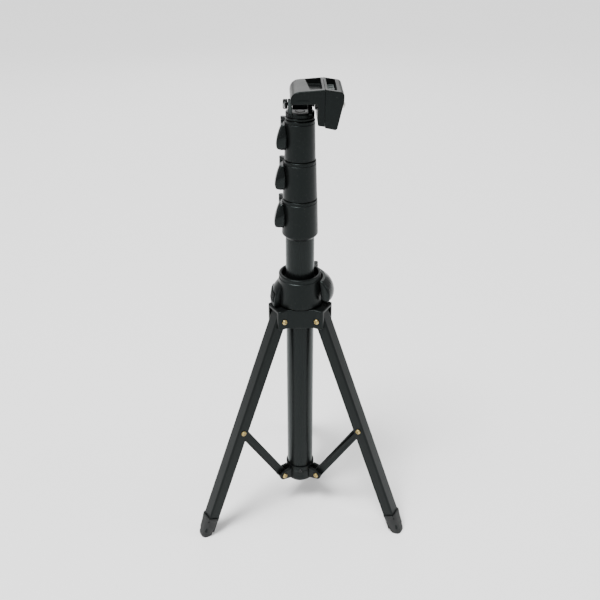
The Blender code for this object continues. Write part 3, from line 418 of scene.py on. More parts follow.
def powder_coat(name, tone):
    """Powder-coated steel sheet: soft orange peel, tiny nibs and slightly polished patches."""
    paint = Paint(name)
    peel = paint.noise(620.0, 2.0)
    nibs = paint.range(paint.noise(2400.0, 1.0), 0.66, 0.74, 0.0, 1.0)
    cloud = paint.noise(18.0, 4.0)
    rub = paint.range(paint.noise(110.0, 6.0, (1.0, 1.0, 0.3)), 0.62, 0.75, 0.0, 1.0)
    base = paint.mix(cloud, grey(tone * 0.85), grey(tone * 1.2))
    base = paint.mix(rub * 0.25, base, grey(tone * 2.3))
    paint.set(
        Base_Color=base,
        Roughness=paint.range(cloud + nibs * 0.2, 0.3, 0.9, 0.30, 0.42),
        Normal=paint.bump(peel, 0.16, 0.00016, paint.bump(nibs, 0.25, 0.00005)),
        Specular_IOR_Level=0.12,
        Specular_Tint=SHEEN,
        Coat_Weight=0.02,
        Coat_Roughness=0.3,
    )
    return paint.material


def rubbery(name):
    """Matte black rubber with a fine sandy skin and dust in its pores."""
    paint = Paint(name)
    skin = paint.noise(1900.0, 4.0)
    cloud = paint.noise(90.0, 4.0)
    dust = paint.range(cloud, 0.52, 0.72, 0.0, 1.0)
    base = paint.mix(dust * 0.35, grey(0.011), (0.045, 0.044, 0.042, 1.0))
    paint.set(
        Base_Color=base,
        Roughness=paint.range(skin, 0.3, 0.7, 0.66, 0.84),
        Specular_IOR_Level=0.35,
        Normal=paint.bump(skin, 0.4, 0.00012),
    )
    return paint.material


def metal(name, bright, dull, rough):
    """Turned metal: fine lines, a clouded tarnish and small specks."""
    paint = Paint(name)
    lines = paint.noise(2800.0, 2.0)
    cloud = paint.noise(420.0, 4.0)
    tarnish = paint.range(cloud, 0.48, 0.70, 0.0, 1.0)
    paint.set(
        Base_Color=paint.mix(tarnish * 0.75, bright, dull),
        Metallic=1.0,
        Roughness=paint.range(cloud + lines * 0.3, 0.35, 0.9, rough, rough + 0.16),
        Normal=paint.bump(lines, 0.12, 0.00004),
    )
    return paint.material


PAINTS = {
    "black_plastic": moulded("moulded black plastic", 0.0036, 0.33, 0.22, 0.13),
    "lever_plastic": moulded("glossier lever plastic", 0.0040, 0.25, 0.12, 0.17),
    "anodised_tube": anodised("black anodised tube", 0.0046),
    "leg_paint": powder_coat("black powder coat", 0.0036),
    "rubber": rubbery("foot and pad rubber"),
    "brass": metal("brass", (0.44, 0.34, 0.14, 1.0), (0.20, 0.14, 0.05, 1.0), 0.26),
    "steel": metal("bright steel", (0.62, 0.61, 0.58, 1.0), (0.30, 0.28, 0.25, 1.0), 0.26),
    "black_steel": metal("blackened steel", (0.035, 0.035, 0.036, 1.0), (0.018, 0.018, 0.018, 1.0), 0.34),
    "nylon": moulded("dark nylon", 0.050, 0.48, 0.15),
}

# ---- camera, floor and light

def make_camera():
    """Stands in front of the tripod, a little to the left, and looks down at it by about 30 degrees."""
    pitch = math.radians(30.33)
    yaw = math.radians(-1.46)
    distance, height = 653.4, 610.4
    data = bpy.data.cameras.new("camera")
    data.sensor_width = 36.0
    data.lens = 47.97
    data.shift_y = 0.0202
    camera = bpy.data.objects.new("camera", data)
    bpy.context.scene.collection.objects.link(camera)
    spot = MAST + Vector((distance * math.sin(yaw), -distance * math.cos(yaw), height))
    camera.location = spot * MM
    camera.rotation_euler = (math.pi / 2 - pitch, 0, yaw)
    bpy.context.scene.camera = camera


def make_floor():
    deselect()
    bpy.ops.mesh.primitive_plane_add(size=30.0)
    floor = bpy.context.object
    floor.name = "studio_floor"
    paint = Paint("studio floor")
    shade = paint.noise(3.0, 2.0)
    paint.set(Base_Color=paint.mix(shade, (0.86, 0.86, 0.86, 1), (0.88, 0.88, 0.88, 1)), Roughness=0.9,
              Specular_IOR_Level=0.2)
    floor.data.materials.append(paint.material)


def lamp(name, kind, spot, aim, **settings):
    data = bpy.data.lights.new(name, kind)
    for key, value in settings.items():
        setattr(data, key, value)
    light = bpy.data.objects.new(name, data)
    bpy.context.scene.collection.objects.link(light)
    light.location = spot
    light.rotation_euler = (Vector(aim) - Vector(spot)).to_track_quat("-Z", "Y").to_euler()


def make_light():
    """A white world, a broad sun for an even floor, and three soft discs; places in metres."""
    world = bpy.data.worlds.new("studio")
    bpy.context.scene.world = world
    world.use_nodes = True
    world.node_tree.nodes["Background"].inputs["Color"].default_value = (1.0, 1.0, 1.0, 1.0)
    world.node_tree.nodes["Background"].inputs["Strength"].default_value = 0.62
    lamp("sky", "SUN", (0, 0, 0), (0.28, 0.30, -0.91), energy=4.2, angle=math.radians(20))
    lamp("overhead", "AREA", (-0.45, -0.30, 1.7), (0, 0, 0.1), shape="DISK", size=0.7, energy=22.0)
    lamp("side_fill", "AREA", (1.5, -0.3, 1.2), (0, 0, 0.25), shape="DISK", size=0.9, energy=8.0)
    lamp("back_sheen", "AREA", (-0.15, 1.7, 1.15), (0, 0, 0.35), shape="DISK", size=1.3, energy=7.0)


# ---- screws and pins

SCREW_HEAD = 2.6
HEAD_THICK = 1.5
HUB_SCREW_SEAT = 11.5  # from a leg's middle plane to the underside of each kind of head
LEG_SCREW_SEAT = 7.1
LUG_SCREW_SEAT = 6.1
RECESS_TURN = 0.37  # radians between one cross recess and the next


def screw_head(name, head=SCREW_HEAD, thick=HEAD_THICK, shank=SCREW_R, length=4.0):
    """A pan-head screw with a cross recess; the underside of its head is z = 0."""
    profile = [
        (0, thick), (head * 0.45, thick * 0.97), (head * 0.74, thick * 0.84), (head * 0.92, thick * 0.55),
        (head, thick * 0.24), (head, 0), (shank, 0), (shank, -length), (0, -length),
    ]
    screw = turned(name, profile, closed=False, steps=SMALL)
    for turn in (0.5, 0.5 + math.pi / 2):
        bar = block("bar", (head * 1.1, head * 0.24, thick * 1.3))
        soften(bar, head * 0.07, 1)
        settle(bar, at((0, 0, thick * 0.98), (0, 0, turn)))
        cut(screw, bar)
    return screw


def nut(name, radius=SCREW_HEAD, thick=1.2):
    body = drill(name, radius, thick, (0, 0, thick / 2), sides=6)
    soften(body, 0.18, 2)
    cap = turned("nut_cap", [(0, thick + 0.5), (0.8, thick + 0.45), (1.3, thick + 0.1), (1.3, 0.4), (0, 0.4)],
                 closed=False, steps=24)
    return fuse(body, cap)


def make_screws():
    """The nine brass screws from one head, and a nut for each but the lug screws."""
    head = screw_head("brass_screw")
    cap = nut("brass_nut")
    for name, side in SCREW_SIDE.items():
        kinds = (
            ("hub", "hub", HUB_PIVOT_R, HUB_PIVOT_Z, HUB_SCREW_SEAT),
            ("leg", name + "_leg_body", BRACE_PIVOT_R, BRACE_PIVOT_Z, LEG_SCREW_SEAT),
            ("lug", "mast", LUG_R, LUG_Z, LUG_SCREW_SEAT),
        )
        for kind, body, radius, z, half in kinds:
            node = f"{name}_{kind}_screw"
            seat = row(name) @ at((radius, 0, z))
            piece = copied(head, node + "_head")
            facing = at((0, side * half, 0), (-side * math.pi / 2, 0, 0))
            settle(piece, seat @ facing @ Matrix.Rotation(RECESS_TURN * len(node), 4, "Z"))
            if kind != "lug":
                end = copied(cap, node + "_nut")
                settle(end, seat @ at((0, -side * half, 0), (side * math.pi / 2, 0, 0)))
                done(end, "brass", body)
                shaft = drill(node + "_shaft", SCREW_R, 2 * half - 1)
                settle(shaft, seat @ at((0, 0, 0), ALONG_Y))
                done(shaft, "brass", body)
            done(piece, "brass", body, node)
    discard(head, cap)


# ---- mast tubes

TUBE_WALL = 0.9
TUBE_LIP = 0.25


def make_tubes():
    stages = {
        "outer_tube": "mast", "lower_inner_tube": "lower_stage",
        "middle_inner_tube": "middle_stage", "top_inner_tube": "top_stage",
    }
    for node, body in stages.items():
        radius = (high(node).x - low(node).x) / 2
        bore = radius - TUBE_WALL
        bottom, top = levels(node)
        lip = TUBE_LIP
        profile = [
            (radius, bottom + lip), (radius - lip, bottom), (bore + lip, bottom), (bore, bottom + lip),
            (bore, top - lip), (bore + lip, top), (radius - lip, top), (radius, top - lip),
        ]
        tube = turned(node + "_wall", profile)
        settle(tube, at(MAST))
        done(tube, "anodised_tube", body, node)


# ---- base cap

CAP_R = 14.4
LUG_RADIUS = 5.0
LUG_THICK = 3.2
LUG_MIDDLE = 4.2  # from a leg's middle plane to the middle of each lug
BRACE_SLOT = 5.2  # room between the two lugs of a pair
BOSS_R = 3.4
BOSS_LENGTH = 12.0


def make_base_cap():
    bottom, top = levels("base_cap")
    wall = TUBE_R + GAP
    outer = CAP_R
    profile = [
        (0, bottom + 4), (wall, bottom + 4), (wall, top - 0.4), (wall + 0.35, top), (outer - 0.35, top),
        (outer, top - 0.4), (outer, top - 4.6), (outer - 0.35, top - 4.9), (outer - 0.35, top - 5.5),
        (outer, top - 5.8), (outer, bottom + 6.4), *arc((outer - 3.2, bottom + 3.4), 3.2, 0, -62, 5),
        (outer - 3.4, bottom), (outer - 6, bottom), (outer - 6.4, bottom + 0.6), (0, bottom + 0.6),
    ]
    cap = turned("base_cup", profile, closed=False)
    settle(cap, at(MAST))
    outline = [
        (wall + 0.4, LUG_Z + LUG_RADIUS + 1.2), (wall + 0.4, LUG_Z - LUG_RADIUS - 1.2),
        *arc((LUG_R, LUG_Z), LUG_RADIUS, -90, 90, 20),
    ]
    for name in ROWS:
        for side in (-1, 1):
            lug = slab("lug", outline, LUG_THICK)
            soften(lug, 0.55, 2, 50)
            settle(lug, row(name) @ at((0, side * LUG_MIDDLE, 0), STAND_UP))
            fuse(cap, lug)
        boss = drill("boss", BOSS_R, BOSS_LENGTH, sides=32)
        settle(boss, row(name) @ at((LUG_R, 0, LUG_Z), ALONG_Y))
        slot = block("slot", (20, BRACE_SLOT, 30))
        settle(slot, row(name) @ at((wall + 11.4, 0, LUG_Z)))
        cut(boss, slot)
        fuse(cap, boss)
    done(cap, "black_plastic", "mast", "base_cap")
    tack = screw_head("cap_tack", head=1.9, thick=0.9, shank=1.0, length=1.5)
    seat = middle("cap_screw")
    settle(tack, at((seat.x, MAST.y - outer - 0.05, seat.z), (math.pi / 2, 0, 0)))
    done(tack, "black_steel", "mast", "cap_screw")


# ---- legs

LEG_WIDTH = 13.6
LEG_BACK = 5.7  # from the pivot line out to the web
LEG_EDGE = 4.9  # from the pivot line in to the open edge
LEG_TOP = 5.5  # above the hub pivot
LEG_STOP = 6.0  # the channel's end above the floor, along the leg
SHEET = 1.0
BEND = 1.9  # outer radius of the channel's bends
CORNER_FROM = 1.4  # the rounded inner corner at the leg's head starts at this height
CORNER_R = 4.1
BRACE_HALF = 4.4
BRACE_THICK = 4.4
BRACE_RIM = 1.3
WELL_END = 8.6  # from each pivot to the centre of the round end of the brace's sunk face
SHOE_HEIGHT = 25.0
SHOE_GROWTH = 2.1  # the shoe is wider than the leg by this on each side
SHOE_DROP = 2.2  # the shoe is made this much too long and then cut flat on the floor
SHOE_CORNER = 3.4
SHOE_POCKET = 7.9  # from the shoe's mouth up to the middle of the pocket that is cut for the channel
# Share of the shoe's height and share of its width, from its mouth down.
SHOE_RINGS = (
    (1.00, 0.93), (0.985, 0.975), (0.93, 0.98), (0.88, 0.965), (0.855, 0.935), (0.83, 0.93), (0.55, 0.87),
    (0.30, 0.80), (0.27, 0.765), (0.23, 0.76), (0.20, 0.77), (0.12, 0.74), (0.05, 0.68), (0.0, 0.56),
)


def leg_matrix(name):
    return row(name) @ at((HUB_PIVOT_R, 0, HUB_PIVOT_Z), (0, -LEG_TILT, 0))


def channel_section():
    """The folded sheet's section: a web with round corners and two walls."""
    half = LEG_WIDTH / 2
    outer = [
        (-LEG_EDGE, -half), *arc((LEG_BACK - BEND, -half + BEND), BEND, -90, 0, 6),
        *arc((LEG_BACK - BEND, half - BEND), BEND, 0, 90, 6), (-LEG_EDGE, half),
    ]
    inside = half - SHEET
    tight = BEND - SHEET
    inner = [
        (-LEG_EDGE, inside), *arc((LEG_BACK - BEND, inside - tight), tight, 90, 0, 4),
        *arc((LEG_BACK - BEND, -inside + tight), tight, 0, -90, 4), (-LEG_EDGE, -inside),
    ]
    return outer + inner


def leg_channel():
    length = LEG_LENGTH - LEG_STOP + LEG_TOP
    leg = slab("leg_channel", channel_section(), length)
    settle(leg, at((0, 0, LEG_TOP - length / 2)))
    for height in (0.0, -BRACE_PIVOT):
        cut(leg, drill("hole", SCREW_HOLE, 30, (0, 0, height), ALONG_Y))
    past = LEG_TOP + 1
    corner = slab("corner", [
        (-12, past), (-12, CORNER_FROM), (-LEG_EDGE, CORNER_FROM),
        *arc((-LEG_EDGE + CORNER_R, CORNER_FROM), CORNER_R, 180, 90, 8), (-LEG_EDGE + CORNER_R, past),
    ], 30)
    settle(corner, at((0, 0, 0), STAND_UP))
    cut(leg, corner)
    soften(leg, 0.22, 2, 50)
    return leg


def foot_shoe():
    """A rubber shoe: a lofted, tapering box with a bead at its mouth and a groove above its toe."""
    middle_x = (LEG_BACK - LEG_EDGE) / 2
    bottom = -(LEG_LENGTH + SHOE_DROP)
    half_x = (LEG_BACK + LEG_EDGE) / 2 + SHOE_GROWTH
    half_y = LEG_WIDTH / 2 + SHOE_GROWTH
    here_level, here_size = SHOE_RINGS[-1]
    shoe = pen("foot_shoe", rounded_box(half_x * here_size, half_y * here_size, SHOE_CORNER, bottom))
    bpy.ops.mesh.edge_face_add()
    for level, size in SHOE_RINGS[-2::-1]:
        bpy.ops.mesh.extrude_region_move(
            TRANSFORM_OT_translate={"value": (0, 0, (level - here_level) * SHOE_HEIGHT * MM)}
        )
        bpy.ops.transform.resize(value=(size / here_size, size / here_size, 1), center_override=(0, 0, 0))
        here_level, here_size = level, size
    outward()
    settle(shoe, at((middle_x, 0, 0)))
    room = (LEG_BACK + LEG_EDGE + 0.5, LEG_WIDTH + 0.5, SHOE_HEIGHT)
    return cut(shoe, block("pocket", room, (middle_x, 0, bottom + SHOE_HEIGHT + SHOE_POCKET)))


def rounded_box(half_x, half_y, corner, level):
    points = []
    for sign_x, sign_y, start in ((1, 1, 0), (-1, 1, 90), (-1, -1, 180), (1, -1, 270)):
        centre = (sign_x * (half_x - corner), sign_y * (half_y - corner))
        points += [(x, y, level) for x, y in arc(centre, corner, start, start + 90, 6)]
    return points


def brace_strut():
    """A flat strut with a raised rim on both faces and round ends, about its upper pivot."""
    length = math.hypot(BRACE_PIVOT_R - LUG_R, BRACE_PIVOT_Z - LUG_Z)
    outline = [*arc((0, 0), BRACE_HALF, 0, 180, 18), *arc((0, -length), BRACE_HALF, 180, 360, 18)]
    strut = slab("brace_strut", outline, BRACE_THICK)
    sunk = BRACE_HALF - BRACE_RIM
    well = [*arc((0, -WELL_END), sunk, 0, 180, 12), *arc((0, -length + WELL_END), sunk, 180, 360, 12)]
    for side in (-1, 1):
        pocket = slab("pocket", well, 2.0)
        settle(pocket, at((0, 0, side * 2.6)))
        cut(strut, pocket)
    boss = drill("boss", BRACE_HALF - 0.1, LEG_WIDTH - 2 * SHEET - 2 * GAP)
    fuse(strut, boss)
    cut(strut, drill("upper", SCREW_HOLE, 30), drill("lower", SCREW_HOLE, 30, (0, -length, 0)))
    soften(strut, 0.35, 2, 50)
    settle(strut, at((0, 0, 0), STAND_UP))
    return strut


def make_legs():
    brace_tilt = math.atan2(BRACE_PIVOT_R - LUG_R, BRACE_PIVOT_Z - LUG_Z)
    channel, shoe, strut = leg_channel(), foot_shoe(), brace_strut()
    for name in ROWS:
        leg = copied(channel, name + "_leg_channel")
        settle(leg, leg_matrix(name))
        done(leg, "leg_paint", name + "_leg_body", name + "_leg")
        foot = copied(shoe, name + "_foot_shoe")
        settle(foot, leg_matrix(name))
        floor = block("floor_cut", (80, 80, 20), (0, 0, -10))
        settle(floor, row(name) @ at((110, 0, 0)))
        cut(foot, floor)
        soften(foot, 0.5, 2, 40)
        done(foot, "rubber", name + "_leg_body", name + "_foot")
        bar = copied(strut, name + "_brace_strut")
        settle(bar, row(name) @ at((BRACE_PIVOT_R, 0, BRACE_PIVOT_Z), (0, brace_tilt, 0)))
        done(bar, "leg_paint", name + "_brace_body", name + "_brace")
    discard(channel, shoe, strut)


# ---- lofted pieces

def loft(name, rings, smooth=0):
    """A closed skin through rings of equally many points: a grid, rolled up, closed and capped."""
    around = len(rings[0])
    deselect()
    bpy.ops.mesh.primitive_grid_add(x_subdivisions=around, y_subdivisions=len(rings) - 1, size=MM)
    obj = bpy.context.object
    obj.name = name
    columns = around + 1
    for vert in obj.data.vertices:
        ring = rings[vert.index // columns]
        vert.co = Vector(ring[vert.index % columns % around]) * MM
    bpy.ops.object.mode_set(mode="EDIT")
    bpy.ops.mesh.select_all(action="SELECT")
    bpy.ops.mesh.remove_doubles(threshold=WELD)
    bpy.ops.mesh.fill_holes(sides=0)
    outward()
    if smooth:
        apply(obj, "SUBSURF", levels=smooth, render_levels=smooth)
    return obj


def ease(along):
    along = min(1.0, max(0.0, along))
    return along * along * (3 - 2 * along)


# ---- a lever's hinge

def add_ears(housing, pin, angle, root, spread, sweep, heights, edge):
    """Fuses one ear on a housing at each height: from its skin out to a round end about the pin."""
    for level in heights:
        ear = slab("ear", [
            polar(root, angle - spread), *arc((pin.x, pin.y), BARREL, angle - sweep, angle + sweep, 16),
            polar(root, angle + spread),
        ], EAR_THICK)
        soften(ear, edge, 2, 40)
        settle(ear, at((0, 0, level)))
        fuse(housing, ear)


def hinge_rod(name, pin, bottom, top, body, node):
    """The pin of a lever that reaches from bottom to top, long enough for both ears."""
    rod = drill(name, PIN_R, top - bottom + 5.8)
    soften(rod, 0.25, 2)
    settle(rod, at((pin.x + MAST.x, pin.y + MAST.y, (bottom + top) / 2)))
    done(rod, "black_steel", body, node)


def add_barrel(lever, pin, bottom, top):
    """Fuses a lever's round back about its pin, and bores it."""
    height = top - bottom
    barrel = drill("barrel", BARREL, height, (pin.x, pin.y, bottom + height / 2))
    soften(barrel, 0.4, 3)
    fuse(lever, barrel)
    cut(lever, drill("bore", PIN_BORE, height * 2, (pin.x, pin.y, bottom + height / 2)))


# ---- flip locks

# Radius at the rim, radius at the foot, chin, bore for the tube below, bore for the sliding tube, body.
LOCKS = {
    "lower": (15.3, 16.2, 4.0, 13.3, 11.5, "mast"),
    "middle": (14.0, 15.1, 0.8, 11.5, 9.7, "lower_stage"),
    "upper": (12.7, 13.4, 0.8, 9.7, 7.9, "middle_stage"),
}
PIN_ANGLE = 148.0
LEVER_TIP_ANGLE = 217.0
SLIT_ANGLE = PIN_ANGLE + 22  # the slit that lets the lock body close on its tube
LEVER_ROOM = 1.6  # from a lever's end to the middle of the ear beyond it


def lock_collar(size):
    """The conical lock body: rim, bead, chin, two ears for the lever's pin, a slit and two grooves."""
    top_r, foot_r, chin, seat, throat, body = LOCKS[size]
    node = size + "_lock_body"
    foot, rim = levels(node)
    slope = (foot_r - top_r) / (rim - foot - chin)
    profile = [
        (throat + 0.1, rim - 0.6), (throat + 0.7, rim), (top_r - 0.9, rim),
        *arc((top_r - 0.8, rim - 0.8), 0.8, 80, 0, 5), (top_r + 0.05, rim - 2.2), (top_r - 0.30, rim - 2.5),
        (top_r - 0.28, rim - 3.0),
        (top_r + slope * 3.4, rim - 3.3), (foot_r, foot + chin),
        *arc((foot_r - chin * 0.62, foot + chin), chin * 0.62, -8, -70, 6),
        (foot_r - chin * 0.62 - 0.2, foot + 0.02), (seat + 0.3, foot), (seat, foot + 0.3), (seat, rim - 4.0),
        (throat + 0.1, rim - 4.0),
    ]
    profile = [(x, max(foot, z)) for x, z in profile]
    collar = turned(size + "_lock_collar", profile)
    pin = place_of(size + "_lever_hinge") - MAST
    lever_low, lever_high = levels(size + "_lock_lever")
    heights = (lever_high + LEVER_ROOM, lever_low - LEVER_ROOM)
    add_ears(collar, pin, PIN_ANGLE, math.hypot(pin.x, pin.y) - 4.9, 16, 84, heights, 0.45)
    slit = block("slit", (foot_r, 1.4, 22.0))
    place = (*polar(foot_r, SLIT_ANGLE), (lever_low + lever_high) / 2)
    settle(slit, at(place, (0, 0, math.radians(SLIT_ANGLE))))
    cut(collar, slit)
    for angle in (12, -28):
        groove = block("groove", (3.0, 1.0, 17.0))
        settle(groove, at((*polar(foot_r + 1.15, angle), rim - 16.0), (0, 0, math.radians(angle))))
        cut(collar, groove)
    settle(collar, at(MAST))
    done(collar, "black_plastic", body, node)
    hinge_rod(size + "_hinge_rod", pin, lever_low, lever_high, body, size + "_lock_pin")


# How far the lever stands off at each share of its height, from its foot up.
FIN_PROFILE = (
    (0.0, 0.30), (0.008, 0.50), (0.03, 0.68), (0.07, 0.82), (0.12, 0.91), (0.19, 0.97), (0.28, 1.0),
    (0.38, 0.98), (0.48, 0.93), (0.58, 0.86), (0.68, 0.76), (0.77, 0.66), (0.85, 0.54), (0.92, 0.41),
    (0.97, 0.28), (1.0, 0.14),
)
FIN_THICK = 6.5  # the fin is no thicker than this where it stands off far
FIN_STEPS = 18


def lock_fin(size):
    """The lever: a curved fin that stands off most below its middle and is rounded at its free end."""
    body = LOCKS[size][1] + 0.8
    bottom, top = levels(size + "_lock_lever")
    start = PIN_ANGLE + 6
    rings = []
    for level, reach in FIN_PROFILE:
        tip = LEVER_TIP_ANGLE - 5 * ease(1 - level / 0.12) - 9 * ease((level - 0.5) / 0.5)
        z = bottom + (top - bottom) * level
        inner, outer = [], []
        for i in range(FIN_STEPS + 1):
            along = i / FIN_STEPS
            angle = start + (tip - start) * along
            spread = (angle - start) / (LEVER_TIP_ANGLE - start)
            swell = 2.75 + 0.5 * math.sin(math.pi * spread) + 7.7 * spread ** 1.8
            round_end = 0.2 + 0.8 * math.sqrt(max(0.0, 1 - ease((along - 0.84) / 0.16) ** 2.2))
            away = max(0.5, swell * reach * round_end)
            inner.append((*polar(body + max(0.0, away - FIN_THICK), angle), z))
            outer.append((*polar(body + away, angle), z))
        rings.append(inner + outer[::-1])
    fin = loft(size + "_lever_fin", rings)
    add_barrel(fin, place_of(size + "_lever_hinge") - MAST, bottom, top)
    settle(fin, at(MAST))
    done(fin, "lever_plastic", size + "_lever", size + "_lock_lever", smooth=42)


# ---- hub and collar

HUB_REACH = 29.0  # how far the forks reach from the mast's axis
HUB_WEB = 20.0  # distance of the flat webs between the forks
HUB_ROOF = 2.6
CHEEK_OUT = 11.2
CHEEK_IN = 7.2
SEAT_HOLE = 1.9


def hub_plan(inset):
    """The hub's plan: three forks with round corners and flat webs between, drawn in by an inset."""
    cheek, end, web = CHEEK_OUT - inset, HUB_REACH - inset, HUB_WEB - inset
    root = (web - cheek * math.cos(math.radians(30))) / math.sin(math.radians(30))
    corner = 3.0 - inset * 0.6
    share = [
        (root, -cheek), *arc((end - corner, -cheek + corner), corner, -90, 0, 8),
        *arc((end - corner, cheek - corner), corner, 0, 90, 8), (root, cheek),
    ]
    plan = []
    for angle in (-30, 90, 210):
        turn = Matrix.Rotation(math.radians(angle), 2)
        plan += [tuple(turn @ Vector(point)) for point in share]
    return plan


def make_hub():
    bottom, top = levels("hub_spider")
    height = top - bottom
    hub = slab("hub_forks", hub_plan(0), height)
    soften(hub, 0.9, 3)
    settle(hub, at((0, 0, bottom + height / 2)))
    tray = slab("tray", hub_plan(1.7), 2.4)
    soften(tray, 0.35, 2, 70)
    settle(tray, at((0, 0, top)))
    cut(hub, tray, drill("bore", 14.9, 60, (0, 0, top), sides=FINE))
    slot_from = HUB_PIVOT_R - math.hypot(LEG_TOP, LEG_EDGE) - GAP
    for name in ROWS:
        turn = Matrix.Rotation(ROWS[name], 4, "Z")
        slot = block("slot", (40, 2 * CHEEK_IN, 2 * height))
        soften(slot, 1.0, 3)
        settle(slot, turn @ at((slot_from + 20, 0, top - HUB_ROOF - height)))
        hole = drill("hole", 1.7, 50)
        settle(hole, turn @ at((HUB_PIVOT_R, 0, HUB_PIVOT_Z), ALONG_Y))
        cut(hub, slot, hole)
        for side in (-1, 1):
            seat = turned("seat", [
                (SEAT_HOLE, 0.7), (3.3, 0.7), (3.5, 0.0), (3.5, -0.6), (SEAT_HOLE, -0.6),
            ], steps=SMALL)
            spot = (HUB_PIVOT_R, side * (CHEEK_OUT - 0.65), HUB_PIVOT_Z)
            settle(seat, turn @ at(spot, (-side * math.pi / 2, 0, 0)))
            fuse(hub, seat)
    settle(hub, at(MAST))
    done(hub, "black_plastic", "hub", "hub_spider")
    sleeve_low, sleeve_high = levels("hub_sleeve")
    sleeve = turned("hub_liner", [
        (14.6, sleeve_high - 0.4), (14.2, sleeve_high), (13.7, sleeve_high), (13.3, sleeve_high - 0.4),
        (13.3, sleeve_low + 0.4), (13.7, sleeve_low), (14.2, sleeve_low), (14.6, sleeve_low + 0.4),
    ])
    settle(sleeve, at(MAST))
    done(sleeve, "nylon", "hub", "hub_sleeve")


COLLAR_TOP = 271.6
COLLAR_FOOT = 241.8
COLLAR_RADII = (19.5, 21.4)  # at the top and at the foot
COLLAR_PIN = 55.0  # direction of the lever's pin, in degrees
LEVER_SWEEP = 89.0
WING_FROM = 152  # direction where the fixed wing starts, in degrees
WING_SWEEP = 60
RIB_MIDDLE = 182  # direction of the middle grip rib on the wing
LEVER_OUTER = ((23.6, 267.4), (28.4, 262.8), (30.8, 258.3), (31.8, 253.5), (31.2, 249.4), (29.6, 247.2))
LEVER_INNER = (
    (26.2, 247.2), (27.8, 249.8), (28.4, 253.6), (27.5, 257.4), (25.4, 261.2), (22.6, 264.4), (21.2, 267.4),
)
LEVER_CORE = (
    (22.6, 247.2), (22.4, 249.8), (22.2, 253.6), (22.0, 257.4), (21.8, 261.2), (21.5, 264.4), (21.2, 267.4),
)
WING_CURVE = ((20.0, 263.2), (22.6, 259.5), (24.9, 256.0), (26.3, 252.0), (27.3, 247.0), (27.8, 242.6))


def fine_line(points, steps):
    """A smooth curve through points, as a Catmull-Rom spline."""
    given = [Vector(point) for point in points]
    ends = [given[0] * 2 - given[1], *given, given[-1] * 2 - given[-2]]
    line = []
    for a, b, c, d in zip(ends, ends[1:], ends[2:], ends[3:]):
        for i in range(steps):
            t = i / steps
            bend = (2 * a - 5 * b + 4 * c - d) * t ** 2 + (3 * b - a - 3 * c + d) * t ** 3
            line.append(tuple(0.5 * (2 * b + (c - a) * t + bend)))
    return line + [tuple(points[-1])]


def swept(name, sections):
    """A loft through upright sections of (radius, z) points, each given with its angle."""
    rings = []
    for angle, section in sections:
        rings.append([(*polar(radius, angle), z) for radius, z in section])
    return loft(name, rings)


def shrunk(section, amount):
    """A section drawn in toward its middle by an amount in millimetres."""
    centre = sum((Vector(point) for point in section), Vector((0, 0))) / len(section)
    drawn = []
    for point in section:
        offset = Vector(point) - centre
        drawn.append(tuple(centre + offset * max(0.0, 1 - amount / max(offset.length, 0.01))))
    return drawn


def make_collar():
    """The collar above the hub: a cup round the tube, the fixed thumb wing, and ears for the lever."""
    top_r, foot_r = COLLAR_RADII
    cup = top_r - 2.6
    shelf = COLLAR_TOP - 9.0
    profile = [
        (cup, COLLAR_TOP - 0.5), (cup + 0.5, COLLAR_TOP), (top_r - 1.0, COLLAR_TOP),
        *arc((top_r - 1.0, COLLAR_TOP - 1.0), 1.0, 80, 0, 6), (top_r + 0.1, COLLAR_TOP - 3.2),
        (top_r - 0.3, COLLAR_TOP - 3.5), (top_r - 0.28, COLLAR_TOP - 4.1), (top_r + 0.2, COLLAR_TOP - 4.5),
        (foot_r, COLLAR_FOOT + 1.2), *arc((foot_r - 1.2, COLLAR_FOOT + 1.2), 1.2, -10, -90, 6),
        (foot_r - 2.8, COLLAR_FOOT), (foot_r - 3.6, shelf - 5), (14.9, shelf - 4), (14.9, shelf - 0.4),
        (15.3, shelf), (cup - 0.6, shelf + 0.5), (cup, shelf + 1.2),
    ]
    collar = turned("collar_shell", profile)
    root = top_r - 1.2
    wing_section = [*fine_line(WING_CURVE, 4), (foot_r - 1.6, WING_CURVE[-1][1]), (root, WING_CURVE[0][1])]
    # How far the section is drawn in to the collar, along the wing's sweep.
    stops = [(0, 0.45), (0.5, 0.22), (1.5, 0.07), (3.2, 0.0), *[(turn, 0.0) for turn in range(8, 56, 4)],
             (56.8, 0.0), (58.5, 0.07), (59.5, 0.22), (WING_SWEEP, 0.45)]
    wing = swept("wing", [
        (WING_FROM + turn, [(root + (x - root) * (1 - drawn), z) for x, z in wing_section])
        for turn, drawn in stops
    ])
    fuse(collar, wing)
    pin = place_of("hub_lever_hinge") - MAST
    lever_low, lever_high = levels("collar_lever")
    heights = (lever_high + LEVER_ROOM, lever_low - LEVER_ROOM)
    add_ears(collar, pin, COLLAR_PIN, root, 10, 88, heights, 0.5)
    for turn in range(-6, 7):
        rib = block("rib", (1.2, 0.9, 9.0))
        soften(rib, 0.3, 2)
        angle = RIB_MIDDLE + turn * 3.6
        settle(rib, at((*polar(26.8, angle), 250.0), (0, math.radians(-9), math.radians(angle))))
        fuse(collar, rib)
    settle(collar, at(MAST))
    done(collar, "black_plastic", "hub", "collar_housing")
    hinge_rod("collar_hinge_rod", pin, lever_low, lever_high, "hub", "collar_pin")


